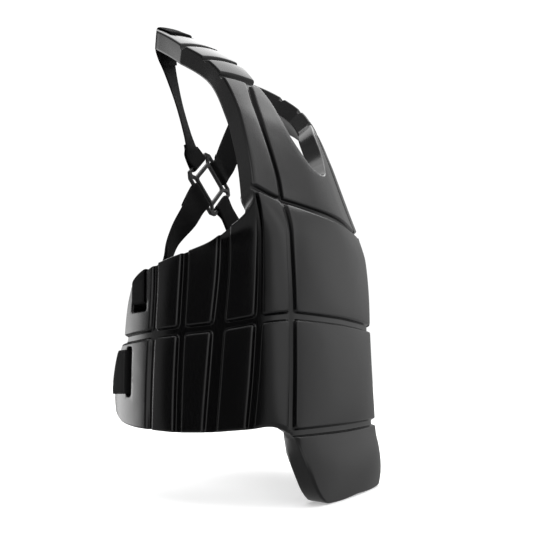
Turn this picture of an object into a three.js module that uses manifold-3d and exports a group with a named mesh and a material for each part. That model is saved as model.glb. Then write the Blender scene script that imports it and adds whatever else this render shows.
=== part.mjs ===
// Martial arts chest guard: one moulded foam shell, worn on the chest and held by webbing at the back.
// Millimetres. +Z is up, -Y is the wearer's front and -X the wearer's right.

import * as THREE from 'three';
import { mergeVertices } from 'three/addons/utils/BufferGeometryUtils.js';
import Module from 'manifold-3d';

const wasm = await Module();
wasm.setup();

// Driving sizes
const FOAM = 25; // thickness of the foam at the pads
const CHANNEL = { depth: 5.2, floor: 3.1, lip: 5.6 }; // floor and lip are half widths
const RIM = { front: 2.5, back: 3 }; // rounding of the outline, outside and inside
const CROWN = 2; // how far the middle of a pad stands out
const WEB = { width: 38, thick: 2, gap: 0.5 };
const WAIST_WEB = 48;
const BUCKLE = { hole: 19.5, bar: 25, slot: 33, half: 38, link: 3.5, corner: 8, thick: 4.5 };
const BUCKLE_AT = { y: 211.5, z: 334, tilt: 0.13 };
const REST = { across: 110, along: 560 }; // where the shoulder straps lie on the wearer

// The flat pattern is drawn across (from the middle) and along (up from the waist channel).
// turn is the heading of the level section, lean the heading of the upright profile, in degrees.
const TORSO = [
  { at: 0, turn: 0 },
  { at: 99, turn: 9.5 },
  { at: 114, turn: 40 },
  { at: 150, turn: 73.8 },
  { at: 240, turn: 74.7 },
  { at: 285, turn: 100.6 },
  { at: 392, turn: 127.3 },
];
const CHEST = [
  { at: 0, turn: 0 },
  { at: 45, turn: 12.5 },
  { at: 145, turn: 13 },
  { at: 260, turn: 15 },
];
const SHOULDER = [
  { at: 0, turn: 0 },
  { at: 80, turn: 8.4 },
  { at: 145, turn: 29 },
  { at: 260, turn: 39 },
];
const PROFILE = [
  { at: -90, turn: -5 },
  { at: -60, turn: 3 },
  { at: -30, turn: 13 },
  { at: -14, turn: 18 },
  { at: -6, turn: 2.5 },
  { at: 130, turn: 0 },
  { at: 150, turn: 0.5 },
  { at: 248, turn: 8.2 },
  { at: 270, turn: 20 },
  { at: 310, turn: 18.5 },
  { at: 370, turn: 18.5 },
  { at: 430, turn: 29 },
  { at: 500, turn: 49 },
  { at: 640, turn: 63.3 },
];
// the level section turns from torso to chest and from chest to shoulder between these heights
const BLEND = { torso: 215, chest: 275, strap: 390, shoulder: 470 };

/** Follows a curve whose heading changes evenly between the rows of a table. */
function walk(table) {
  const legs = [];
  let run = 0;
  let rise = 0;
  const step = (leg, s) => {
    const end = leg.start + leg.bend * s;
    const flat = Math.abs(leg.bend) < 1e-7;
    return {
      heading: end,
      run: leg.run + (flat ? Math.cos(leg.start) * s : (Math.sin(end) - Math.sin(leg.start)) / leg.bend),
      rise: leg.rise + (flat ? Math.sin(leg.start) * s : (Math.cos(leg.start) - Math.cos(end)) / leg.bend),
    };
  };
  for (let i = 0; i + 1 < table.length; i += 1) {
    const start = THREE.MathUtils.degToRad(table[i].turn);
    const end = THREE.MathUtils.degToRad(table[i + 1].turn);
    const length = table[i + 1].at - table[i].at;
    const leg = { at: table[i].at, start, bend: (end - start) / length, run, rise };
    legs.push(leg);
    ({ run, rise } = step(leg, length));
  }
  return (at) => {
    const leg = legs.findLast((item) => item.at <= at) ?? legs[0];
    return step(leg, at - leg.at);
  };
}

const torso = walk(TORSO);
const chest = walk(CHEST);
const shoulder = walk(SHOULDER);
const profile = walk(PROFILE);
const waist = profile(0);

/** Puts a pattern point in space, at a height above the face of the pads. */
function place(across, along, height, side = -1) {
  const rising = THREE.MathUtils.smoothstep(along, BLEND.torso, BLEND.chest);
  const topping = THREE.MathUtils.smoothstep(along, BLEND.strap, BLEND.shoulder);
  const sections = [torso(across), chest(across), shoulder(across)];
  const mixed = (key) => {
    const [low, middle, high] = sections.map((section) => section[key]);
    return low + (middle - low) * rising + (high - middle) * topping;
  };
  const turn = mixed('heading');
  const out = mixed('run') + height * Math.sin(turn);
  const back = mixed('rise') - height * Math.cos(turn);
  const spine = profile(along);
  const y = spine.rise - waist.rise + back * Math.cos(spine.heading);
  const z = spine.run - waist.run - back * Math.sin(spine.heading);
  return new THREE.Vector3(side * out, y, z);
}

// Corners of the pattern: across, along
const node = {
  flapMid: [0, -75], flapEnd: [73, -75.5], g3Mid: [0, 0], g3: [112.3, 0],
  low2: [157.5, 5.5], low3: [202.3, 3.2], low4: [240.2, 3.8], low5: [278.5, 7], low6: [361, 24],
  g2Mid: [0, 124], mid1: [106.2, 123], mid2: [146.6, 118.5], mid3: [192.5, 112.3], mid4: [236.4, 109.2],
  mid5: [275.3, 106.8], mid6: [338, 104],
  g1Mid: [0, 254.5], top1: [102.5, 260.5], top2: [144, 275.5], top3: [183.2, 227], top4: [231.5, 209],
  top5: [272.3, 199], top6: [320.5, 175.5],
  neckMid: [0, 321], neckTurn: [36.5, 352],
  neckA: [72.5, 441.5], neckB: [80, 478], neckC: [80, 521], neckEnd: [83, 592],
  midA: [90, 440.5], midB: [97, 478], midC: [99, 521], midEnd: [100, 597],
  armA: [132.5, 441.5], armB: [139, 479], armC: [146.5, 521], armEnd: [139.5, 592],
};

// Height steps beside an edge, first at the edge itself
const EDGE = {
  channel: { steps: [0, CHANNEL.floor, CHANNEL.lip], heights: [-CHANNEL.depth, -CHANNEL.depth, 0] },
  outline: { steps: [0, 0.3 * RIM.front, RIM.front], heights: [-RIM.front, -0.3 * RIM.front, 0] },
  plain: { steps: [0, CHANNEL.floor, CHANNEL.lip], heights: [0, 0, 0] },
  slant: { steps: [0, 1.35 * CHANNEL.floor, 1.35 * CHANNEL.lip], heights: [0, 0, 0] },
  mitre: { steps: [0, 1.41 * CHANNEL.floor, 1.41 * CHANNEL.lip], heights: [0, 0, 0] },
  middle: { steps: [0], heights: [0] },
};
const BACK = [RIM.back, 0.3 * RIM.back];

/** Divides a pattern line between two corners: fine near both ends, even in between. */
function line(from, to, startKind, endKind, count, through = []) {
  const points = [node[from], ...through, node[to]].map(([x, y]) => new THREE.Vector3(x, y, 0));
  const curve = new THREE.CatmullRomCurve3(points, false, 'centripetal');
  const length = curve.getLength();
  const start = EDGE[startKind].steps;
  const end = EDGE[endKind].steps.map((step) => length - step).reverse();
  const first = start.at(-1);
  const last = end[0];
  const between = Array.from({ length: count }, (_, i) => first + ((i + 1) * (last - first)) / (count + 1));
  const divided = [...start, ...between, ...end].map((at) => curve.getPointAt(Math.min(at / length, 1)));
  const top = divided.length - 1;
  const keepsSteps = (kind) => kind === 'outline' || kind === 'middle';
  const merge = divided.map((_, i) => {
    if (i < start.length && !keepsSteps(startKind)) return 0;
    return i > top - end.length && !keepsSteps(endKind) ? top : i;
  });
  return { points: divided, merge };
}

/** The same line, followed the other way. */
function reversed({ points, merge }) {
  const top = points.length - 1;
  return { points: points.toReversed(), merge: merge.map((_, i) => top - merge[top - i]) };
}

// How many points divide each kind of line between its edge steps
const COUNT = {
  centre: 2, side: 4, wing: 1, tip: 3,
  flap: 4, low: 2, high: 2, neck: 1, chest: 4, strap: 1, end: 3,
};
const L = {
  // lines across, from the middle outwards
  flapEnd: line('flapMid', 'flapEnd', 'middle', 'outline', COUNT.centre, [[41, -76.3]]),
  g3: line('g3Mid', 'g3', 'middle', 'channel', COUNT.centre),
  low2: line('g3', 'low2', 'channel', 'channel', COUNT.side, [[133, 7.5]]),
  low3: line('low2', 'low3', 'channel', 'channel', COUNT.wing),
  low4: line('low3', 'low4', 'channel', 'channel', COUNT.wing),
  low5: line('low4', 'low5', 'channel', 'channel', COUNT.wing),
  low6: line('low5', 'low6', 'channel', 'outline', COUNT.tip, [[309, 9.5], [342, 15]]),
  mid1: line('g2Mid', 'mid1', 'middle', 'channel', COUNT.centre),
  mid2: line('mid1', 'mid2', 'channel', 'channel', COUNT.side),
  mid3: line('mid2', 'mid3', 'channel', 'channel', COUNT.wing),
  mid4: line('mid3', 'mid4', 'channel', 'channel', COUNT.wing),
  mid5: line('mid4', 'mid5', 'channel', 'channel', COUNT.wing),
  mid6: line('mid5', 'mid6', 'channel', 'outline', COUNT.tip),
  top1: line('g1Mid', 'top1', 'middle', 'channel', COUNT.centre, [[35, 255.3], [70, 257.8]]),
  top2: line('top1', 'top2', 'channel', 'channel', COUNT.side),
  top3: line('top2', 'top3', 'channel', 'channel', COUNT.wing, [[147, 256], [154, 245.5], [165, 237]]),
  top4: line('top3', 'top4', 'channel', 'channel', COUNT.wing, [[201, 217.8]]),
  top5: line('top4', 'top5', 'channel', 'channel', COUNT.wing),
  top6: line('top5', 'top6', 'channel', 'outline', COUNT.tip, [[287, 193], [303, 187.5]]),
  neckLow: line('neckMid', 'neckTurn', 'middle', 'plain', COUNT.centre, [[10, 322.6], [21.5, 329]]),
  ribAIn: line('neckA', 'midA', 'outline', 'channel', COUNT.neck),
  ribBIn: line('neckB', 'midB', 'outline', 'plain', COUNT.neck),
  ribCIn: line('neckC', 'midC', 'outline', 'plain', COUNT.neck),
  endIn: line('neckEnd', 'midEnd', 'outline', 'plain', COUNT.neck),
  ribAOut: line('midA', 'armA', 'channel', 'outline', COUNT.side),
  ribBOut: line('midB', 'armB', 'plain', 'outline', COUNT.side),
  ribCOut: line('midC', 'armC', 'plain', 'outline', COUNT.side),
  endOut: line('midEnd', 'armEnd', 'plain', 'outline', COUNT.side, [[122, 597]]),
  // lines along, from the bottom up
  flapMid: line('flapMid', 'g3Mid', 'outline', 'channel', COUNT.flap),
  flapSide: line('flapEnd', 'g3', 'outline', 'channel', COUNT.flap,
    [[88, -59], [96, -41], [101.5, -23], [105.5, -8.5]]),
  lowMid: line('g3Mid', 'g2Mid', 'channel', 'channel', COUNT.low),
  low1Up: line('g3', 'mid1', 'channel', 'channel', COUNT.low, [[108, 65]]),
  low2Up: line('low2', 'mid2', 'outline', 'channel', COUNT.low, [[151.3, 56]]),
  low3Up: line('low3', 'mid3', 'outline', 'channel', COUNT.low, [[197, 57]]),
  low4Up: line('low4', 'mid4', 'outline', 'channel', COUNT.low, [[238.6, 57]]),
  low5Up: line('low5', 'mid5', 'outline', 'channel', COUNT.low, [[277, 58]]),
  low6Up: line('low6', 'mid6', 'outline', 'slant', COUNT.low, [[368.5, 42], [366.5, 60], [357, 83]]),
  highMid: line('g2Mid', 'g1Mid', 'channel', 'channel', COUNT.high),
  mid1Up: line('mid1', 'top1', 'channel', 'channel', COUNT.high, [[107.5, 195]]),
  mid2Up: line('mid2', 'top2', 'channel', 'channel', COUNT.high, [[144.5, 186], [142, 230]]),
  mid3Up: line('mid3', 'top3', 'channel', 'outline', COUNT.high, [[187.5, 165]]),
  mid4Up: line('mid4', 'top4', 'channel', 'outline', COUNT.high, [[234, 170]]),
  mid5Up: line('mid5', 'top5', 'channel', 'outline', COUNT.high, [[273.5, 150]]),
  mid6Up: line('mid6', 'top6', 'channel', 'outline', COUNT.high, [[335, 127], [331, 146]]),
  chestMid: line('g1Mid', 'neckMid', 'channel', 'outline', COUNT.neck),
  mitre: line('top1', 'neckTurn', 'mitre', 'outline', COUNT.neck, [[78, 293]]),
  neckUp: line('neckTurn', 'neckA', 'plain', 'channel', COUNT.chest,
    [[44, 367], [51, 393], [55.5, 413], [63, 428]]),
  top1Up: line('top1', 'midA', 'channel', 'channel', COUNT.chest,
    [[95.5, 290], [93.7, 320], [95, 376], [94.5, 410]]),
  armUp: line('top2', 'armA', 'channel', 'channel', COUNT.chest,
    [[140, 290], [135.2, 311], [129.8, 353], [127.6, 386], [128.8, 415]]),
  neckAB: line('neckA', 'neckB', 'channel', 'channel', COUNT.strap),
  midAB: line('midA', 'midB', 'channel', 'channel', COUNT.strap),
  armAB: line('armA', 'armB', 'channel', 'channel', COUNT.strap),
  neckBC: line('neckB', 'neckC', 'channel', 'channel', COUNT.strap),
  midBC: line('midB', 'midC', 'channel', 'channel', COUNT.strap),
  armBC: line('armB', 'armC', 'channel', 'channel', COUNT.strap),
  neckCEnd: line('neckC', 'neckEnd', 'channel', 'outline', COUNT.end),
  midCEnd: line('midC', 'midEnd', 'channel', 'outline', COUNT.end),
  armCEnd: line('armC', 'armEnd', 'channel', 'outline', COUNT.end),
};

/** One pad: its four lines and what runs along each of them, bottom, right, top, left. */
const pad = (bottom, right, top, left, kinds, crown = CROWN) => ({
  lines: { bottom, right, top, left },
  kinds: { bottom: kinds[0], right: kinds[1], top: kinds[2], left: kinds[3] },
  crown,
});
const [C, O, P, M] = ['channel', 'outline', 'plain', 'middle'];
const PADS = [
  pad(L.flapEnd, L.flapSide, L.g3, L.flapMid, [O, O, C, M]),
  pad(L.g3, L.low1Up, L.mid1, L.lowMid, [C, C, C, M]),
  pad(L.low2, L.low2Up, L.mid2, L.low1Up, [O, C, C, C]),
  pad(L.low3, L.low3Up, L.mid3, L.low2Up, [O, C, C, C]),
  pad(L.low4, L.low4Up, L.mid4, L.low3Up, [O, C, C, C]),
  pad(L.low5, L.low5Up, L.mid5, L.low4Up, [O, C, C, C]),
  pad(L.low6, L.low6Up, L.mid6, L.low5Up, [O, O, C, C], 0),
  pad(L.mid1, L.mid1Up, L.top1, L.highMid, [C, C, C, M]),
  pad(L.mid2, L.mid2Up, L.top2, L.mid1Up, [C, C, C, C]),
  pad(L.mid3, L.mid3Up, L.top3, L.mid2Up, [C, C, O, C]),
  pad(L.mid4, L.mid4Up, L.top4, L.mid3Up, [C, C, O, C]),
  pad(L.mid5, L.mid5Up, L.top5, L.mid4Up, [C, C, O, C]),
  pad(L.mid6, L.mid6Up, L.top6, L.mid5Up, [C, O, O, C], 0),
  pad(L.top1, L.mitre, L.neckLow, L.chestMid, [C, P, O, M], 0),
  pad(reversed(L.mitre), L.top1Up, L.ribAIn, L.neckUp, [P, C, C, O], 0),
  pad(L.top2, L.armUp, L.ribAOut, L.top1Up, [C, O, C, C]),
  pad(L.ribAIn, L.midAB, L.ribBIn, L.neckAB, [C, P, C, O], 0),
  pad(L.ribAOut, L.armAB, L.ribBOut, L.midAB, [C, O, C, P], 0),
  pad(L.ribBIn, L.midBC, L.ribCIn, L.neckBC, [C, P, C, O], 0),
  pad(L.ribBOut, L.armBC, L.ribCOut, L.midBC, [C, O, C, P], 0),
  pad(L.ribCIn, L.midCEnd, L.endIn, L.neckCEnd, [C, P, O, O], 0),
  pad(L.ribCOut, L.armCEnd, L.endOut, L.midCEnd, [C, O, O, P], 0),
];

/** How far each point of a line lies along it, from 0 to 1. */
function spread({ points }) {
  const sums = [0];
  for (let i = 1; i < points.length; i += 1) {
    sums.push(sums[i - 1] + points[i].distanceTo(points[i - 1]));
  }
  return sums.map((sum) => sum / sums.at(-1));
}

/** Which grid point stands for another on the smooth back, where the steps beside a channel merge. */
function backPoint({ bottom, right, top, left }, i, j) {
  const [columns, rows] = [bottom.points.length - 1, left.points.length - 1];
  const common = (one, other, k) => (one.merge[k] === other.merge[k] ? one.merge[k] : k);
  let x = j === 0 || j === rows ? i : common(bottom, top, i);
  let y = i === 0 || i === columns ? j : common(left, right, j);
  for (let pass = 0; pass < 2; pass += 1) {
    if (y === 0) x = bottom.merge[x];
    if (y === rows) x = top.merge[x];
    if (x === 0) y = left.merge[y];
    if (x === columns) y = right.merge[y];
  }
  return y * (columns + 1) + x;
}

/** Fills a pad's four lines with a grid of pattern points, and gives each its two heights. */
function fillPad({ lines, kinds, crown }) {
  const { bottom, right, top, left } = lines;
  const [sLow, sHigh, tLow, tHigh] = [bottom, top, left, right].map(spread);
  const columns = bottom.points.length;
  const rows = left.points.length;
  const grid = [];
  for (let j = 0; j < rows; j += 1) {
    for (let i = 0; i < columns; i += 1) {
      const s = THREE.MathUtils.lerp(sLow[i], sHigh[i], (tLow[j] + tHigh[j]) / 2);
      const t = THREE.MathUtils.lerp(tLow[j], tHigh[j], s);
      const point = new THREE.Vector3()
        .addScaledVector(bottom.points[i], 1 - t).addScaledVector(top.points[i], t)
        .addScaledVector(left.points[j], 1 - s).addScaledVector(right.points[j], s)
        .addScaledVector(bottom.points[0], -(1 - s) * (1 - t))
        .addScaledVector(bottom.points.at(-1), -s * (1 - t))
        .addScaledVector(top.points[0], -(1 - s) * t).addScaledVector(top.points.at(-1), -s * t);
      const steps = { bottom: j, right: columns - 1 - i, top: rows - 1 - j, left: i };
      let front = 0;
      let back = 0;
      for (const [side, step] of Object.entries(steps)) {
        front = Math.min(front, EDGE[kinds[side]].heights[step] ?? 0);
        if (kinds[side] === O) {
          back = Math.max(back, BACK[step] ?? 0);
        }
      }
      const half = kinds.left === M ? (1 + s) / 2 : s;
      const bulge = crown * (1 - (2 * half - 1) ** 2) * (1 - (2 * t - 1) ** 2);
      grid.push({ x: point.x, y: point.y, front: front === 0 ? bulge : front, back: back - FOAM });
    }
  }
  return { grid, columns, rows };
}

const keyOf = (point) => `${point.x.toFixed(2)},${point.y.toFixed(2)}`;

/** A closed geometry from its triangles, without those that have shrunk to a line. */
function skin(triangles) {
  const whole = triangles.filter(([a, b, c]) => !(a.equals(b) || b.equals(c) || c.equals(a)));
  const geometry = new THREE.BufferGeometry().setFromPoints(whole.flat());
  return mergeVertices(geometry, 1e-3);
}

/** Joins all pads, front and back, into one closed skin. */
function shellGeometry() {
  const filled = PADS.map(fillPad);
  const shared = new Map();
  for (const point of filled.flatMap(({ grid }) => grid)) {
    const seen = shared.get(keyOf(point)) ?? point;
    const front = Math.min(seen.front, point.front);
    const back = Math.max(seen.back, point.back);
    shared.set(keyOf(point), { front, back });
  }
  const triangles = [];
  filled.forEach(({ grid, columns, rows }, index) => {
    const { kinds, lines } = PADS[index];
    for (const side of [-1, 1]) {
      const face = (name) => grid.map((point) => {
        return place(point.x, point.y, shared.get(keyOf(point))[name], side);
      });
      const front = face('front');
      const behind = face('back');
      const back = grid.map((_, k) => behind[backPoint(lines, k % columns, Math.floor(k / columns))]);
      const at = (i, j) => j * columns + i;
      const quad = (a, b, c, d) => {
        triangles.push(...(side > 0 ? [[a, b, c], [a, c, d]] : [[a, c, b], [a, d, c]]));
      };
      const wall = (p, q) => quad(front[q], front[p], back[p], back[q]);
      for (let j = 0; j + 1 < rows; j += 1) {
        for (let i = 0; i + 1 < columns; i += 1) {
          const [a, b, c, d] = [at(i, j), at(i + 1, j), at(i + 1, j + 1), at(i, j + 1)];
          quad(front[a], front[b], front[c], front[d]);
          quad(back[d], back[c], back[b], back[a]);
        }
      }
      for (let i = 0; i + 1 < columns; i += 1) {
        if (kinds.bottom === O) wall(at(i, 0), at(i + 1, 0));
        if (kinds.top === O) wall(at(i + 1, rows - 1), at(i, rows - 1));
      }
      for (let j = 0; j + 1 < rows; j += 1) {
        if (kinds.right === O) wall(at(columns - 1, j), at(columns - 1, j + 1));
        if (kinds.left === O) wall(at(0, j + 1), at(0, j));
      }
    }
  });
  return skin(triangles);
}

/** Turns a closed geometry into a solid that can be cut. */
function toSolid(geometry) {
  const bare = new THREE.BufferGeometry();
  bare.setAttribute('position', geometry.getAttribute('position'));
  bare.setIndex(geometry.getIndex());
  const merged = mergeVertices(bare, 1e-4);
  return new wasm.Manifold(new wasm.Mesh({
    numProp: 3,
    vertProperties: new Float32Array(merged.getAttribute('position').array),
    triVerts: new Uint32Array(merged.getIndex().array),
  }));
}

/** Turns a cut solid back into a geometry. */
function fromSolid(solid) {
  const { numProp, vertProperties, triVerts } = solid.getMesh();
  const geometry = new THREE.BufferGeometry();
  const stored = new THREE.InterleavedBuffer(new Float32Array(vertProperties), numProp);
  const points = Array.from({ length: stored.count }, (_, i) => {
    return [stored.array[i * numProp], stored.array[i * numProp + 1], stored.array[i * numProp + 2]];
  });
  geometry.setAttribute('position', new THREE.Float32BufferAttribute(points.flat(), 3));
  geometry.setIndex(Array.from(triVerts));
  return geometry;
}

// Strap slots in the foam: middle and size across and along, in the pattern
const SLOT = {
  shoulder: { across: 111, along: 567, wide: 42, high: 10 },
  side: { across: 302, along: 140, wide: 30, high: 12 },
  waist: { across: 321, along: 68.5, wide: 11, high: 53 },
};

/** A rounded bar that stands through the foam, for cutting a slot. */
function slotGeometry({ across, along, wide, high }, side) {
  const r = 3;
  const [w, h] = [wide / 2 - r, high / 2 - r];
  const shape = new THREE.Shape();
  shape.absarc(w, h, r, 0, Math.PI / 2);
  shape.absarc(-w, h, r, Math.PI / 2, Math.PI);
  shape.absarc(-w, -h, r, Math.PI, 1.5 * Math.PI);
  shape.absarc(w, -h, r, 1.5 * Math.PI, 2 * Math.PI);
  const depth = FOAM + 16;
  const bar = new THREE.ExtrudeGeometry(shape, { depth, steps: 1, bevelEnabled: false, curveSegments: 2 });
  const spots = bar.getAttribute('position');
  for (let i = 0; i < spots.count; i += 1) {
    const height = spots.getZ(i) - FOAM - 8;
    const spot = place(across + side * spots.getX(i), along + spots.getY(i), height, side);
    spots.setXYZ(i, spot.x, spot.y, spot.z);
  }
  return mergeVertices(new THREE.BufferGeometry().setAttribute('position', spots), 1e-4);
}

let shell = toSolid(shellGeometry());
for (const slot of Object.values(SLOT)) {
  for (const side of [-1, 1]) {
    shell = shell.subtract(toSolid(slotGeometry(slot, side)));
  }
}

// The buckle's own axes: right, up the plate, and out of its back
const buckleUp = new THREE.Vector3(0, Math.sin(BUCKLE_AT.tilt), Math.cos(BUCKLE_AT.tilt));
const buckleBack = new THREE.Vector3(0, Math.cos(BUCKLE_AT.tilt), -Math.sin(BUCKLE_AT.tilt));
const buckleMiddle = new THREE.Vector3(0, BUCKLE_AT.y, BUCKLE_AT.z);

/** Points turned about the middle of the plate. */
const turned = (points, angle) => {
  return points.map((point) => point.clone().rotateAround(new THREE.Vector2(), angle));
};

/** A rectangle with rounded corners, as a closed path. */
function roundedBox(path, x0, y0, x1, y1, r) {
  path.moveTo(x1, y0 + r);
  path.absarc(x1 - r, y1 - r, r, 0, Math.PI / 2);
  path.absarc(x0 + r, y1 - r, r, Math.PI / 2, Math.PI);
  path.absarc(x0 + r, y0 + r, r, Math.PI, 1.5 * Math.PI);
  path.absarc(x1 - r, y0 + r, r, 1.5 * Math.PI, 2 * Math.PI);
  return path;
}

/** The diamond plate with cut corners, its middle hole and a slot along each side, slanted at both ends. */
function buckleGeometry() {
  const { hole, bar, slot, half, link, corner, thick } = BUCKLE;
  const bevel = 0.8;
  const side = half - bevel;
  const flat = side - corner + 0.6 * bevel;
  const opening = hole + bevel;
  const [near, far] = [bar - bevel, slot + bevel];
  const end = Math.SQRT2 * bevel - link; // the slot's end lies this far past the diagonal
  const quarters = [0, 1, 2, 3].map((k) => (k * Math.PI) / 2);
  const round = (points) => quarters.flatMap((angle) => turned(points, angle));
  const plate = new THREE.Shape(round([new THREE.Vector2(side, -flat), new THREE.Vector2(side, flat)]));
  plate.holes.push(roundedBox(new THREE.Path(), -opening, -opening, opening, opening, 3));
  const slotEnds = [[near, -near - end], [far, -far - end], [far, far + end], [near, near + end]];
  const outline = slotEnds.map(([x, y]) => new THREE.Vector2(x, y));
  quarters.forEach((angle) => plate.holes.push(new THREE.Path(turned(outline, angle))));
  const geometry = new THREE.ExtrudeGeometry(plate, {
    depth: thick - 2 * bevel, steps: 1, curveSegments: 2,
    bevelThickness: bevel, bevelSize: bevel, bevelSegments: 1,
  });
  geometry.translate(0, 0, -(thick - 2 * bevel) / 2);
  geometry.rotateZ(Math.PI / 4);
  const across = new THREE.Vector3(1, 0, 0);
  const frame = new THREE.Matrix4().makeBasis(across, buckleUp, buckleBack.clone().negate());
  return geometry.applyMatrix4(frame.setPosition(buckleMiddle));
}

const RAILS = [-1, 0, 1];

/** Where a pattern line, followed outwards or upwards, passes a given value of one coordinate. */
function crossing({ points }, key, value) {
  const other = key === 'x' ? 'y' : 'x';
  const i = points.findIndex((point) => point[key] >= value);
  const [a, b] = [points[i - 1], points[i]];
  return THREE.MathUtils.mapLinear(value, a[key], b[key], a[other], b[other]);
}

/** The edge of the foam under the three rails, moved out until straight webbing between them clears it. */
function edgeUnder(outline, key, values) {
  const edge = values.map((value) => crossing(outline, key, value));
  const excess = [0, 1].flatMap((i) => [0.25, 0.5, 0.75].map((part) => {
    const value = THREE.MathUtils.lerp(values[i], values[i + 1], part);
    return crossing(outline, key, value) - THREE.MathUtils.lerp(edge[i], edge[i + 1], part);
  }));
  return edge.map((value) => value + Math.max(0, ...excess) + 0.3);
}

/** Three points across the webbing beside a buckle bar: out from the plate's middle, and off its plane. */
function atBuckle(up, out, off) {
  const away = buckleUp.clone().multiplyScalar(up).add(new THREE.Vector3(-1, 0, 0)).normalize();
  const bar = buckleUp.clone().multiplyScalar(-1).add(new THREE.Vector3(-up, 0, 0)).normalize();
  return RAILS.map((rail) => buckleMiddle.clone()
    .addScaledVector(away, out).addScaledVector(buckleBack, off)
    .addScaledVector(bar, (rail * WEB.width) / 2));
}

/** Three points across the webbing between two places, turned about its run and moved off its face. */
function between(from, to, part, off, twist) {
  const run = to[1].clone().sub(from[1]).normalize();
  const width = ([first, , last]) => last.clone().sub(first);
  const arm = width(from).lerp(width(to), part).projectOnPlane(run).normalize().applyAxisAngle(run, twist);
  const middle = from[1].clone().lerp(to[1], part).addScaledVector(run.clone().cross(arm), off);
  return RAILS.map((rail) => middle.clone().addScaledVector(arm, (rail * WEB.width) / 2));
}

/** The turn of the webbing around one buckle bar, from behind the plate to its front. */
function barTurn(up) {
  const { bar, slot, half, thick } = BUCKLE;
  const off = thick / 2 + WEB.gap + WEB.thick / 2;
  const inside = slot - WEB.gap - WEB.thick / 2;
  return [
    atBuckle(up, half + 1, off), atBuckle(up, slot + 1, off + 0.2), atBuckle(up, inside, off - 1.6),
    atBuckle(up, inside, 1.6 - off), atBuckle(up, slot + 1, -off - 0.2), atBuckle(up, half + 1, -off),
  ];
}

/** Sweeps webbing through a row of three-point places. */
function webbing(places, samples = 1) {
  const curves = RAILS.map((_, i) => {
    return new THREE.CatmullRomCurve3(places.map((spot) => spot[i]), false, 'centripetal');
  });
  const count = (places.length - 1) * samples;
  const rows = Array.from({ length: count + 1 }, (_, k) => {
    return curves.map((curve) => curve.getPoint(k / count));
  });
  const faces = [1, -1].map((sign) => rows.map((row, k) => {
    const ahead = rows[Math.min(k + 1, count)];
    const behind = rows[Math.max(k - 1, 0)];
    return row.map((spot, i) => {
      const along = ahead[i].clone().sub(behind[i]);
      const across = row[Math.min(i + 1, 2)].clone().sub(row[Math.max(i - 1, 0)]);
      return spot.clone().addScaledVector(along.cross(across).normalize(), (sign * WEB.thick) / 2);
    });
  }));
  const triangles = [];
  // A turned strip is always split along its rear diagonal, so that two plies keep their distance.
  const quad = (a, b, c, d) => {
    const along = a.y + c.y >= b.y + d.y ? [[a, b, c], [a, c, d]] : [[b, c, d], [b, d, a]];
    triangles.push(...along);
  };
  const [top, under] = faces;
  for (let k = 0; k < count; k += 1) {
    for (let i = 0; i < 2; i += 1) {
      quad(top[k][i], top[k + 1][i], top[k + 1][i + 1], top[k][i + 1]);
      quad(under[k][i], under[k][i + 1], under[k + 1][i + 1], under[k + 1][i]);
    }
    quad(top[k][0], under[k][0], under[k + 1][0], top[k + 1][0]);
    quad(top[k][2], top[k + 1][2], under[k + 1][2], under[k][2]);
  }
  for (let i = 0; i < 2; i += 1) {
    quad(top[0][i], top[0][i + 1], under[0][i + 1], under[0][i]);
    quad(top[count][i], under[count][i], under[count][i + 1], top[count][i + 1]);
  }
  return skin(triangles);
}

const OFF = WEB.gap + WEB.thick / 2; // middle of the webbing to the face that it lies on
const PLY = WEB.thick + 0.6; // from ply to ply where the webbing lies double

/** The webbing's way through a slot, from the back of the foam to its front, close to one wall. */
const throughSlot = (spot, wall, ease = 0.1) => [
  spot(wall + 6, -FOAM - OFF - ease), spot(wall + 0.4, -FOAM - 1.3), spot(wall - 0.2, -FOAM + 3),
  spot(wall - 0.2, -3), spot(wall + 0.4, 1.3), spot(wall + 6, OFF + 0.1),
];

/** Shoulder webbing: round the strip at the shoulder's end, down to the buckle and round its upper bar. */
function shoulderPath() {
  const { across, along, high } = SLOT.shoulder;
  const spot = (v, h) => RAILS.map((rail) => place(across + (rail * WEB.width) / 2, v, h));
  const slot = along + high / 2 - OFF;
  const end = 597.5 + OFF;
  const tip = spot(end - 3.5, -FOAM - 6);
  const buckle = atBuckle(1, BUCKLE.half + 14, -0.4 - PLY / 2);
  const run = (part, off = 0) => {
    return between(tip, buckle, part, off, -0.42 * Math.sqrt(Math.sin(Math.PI * part)));
  };
  return [
    run(0.12, -PLY), run(0.06, -PLY - 0.3), spot(end - 9, -FOAM - 2.6), ...throughSlot(spot, slot),
    spot(end - 10, OFF), spot(end - 3.4, OFF + 0.1), spot(end - 0.2, -0.3), spot(end, -6),
    spot(end, -FOAM + 3), spot(end - 1, -FOAM - 1.5), tip, run(0.06), run(0.12), run(0.2), run(0.5), run(0.8),
    run(0.9), run(0.95), buckle, ...barTurn(1).toReversed(), run(1, PLY), run(0.95, PLY), run(0.9, PLY),
  ];
}

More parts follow.
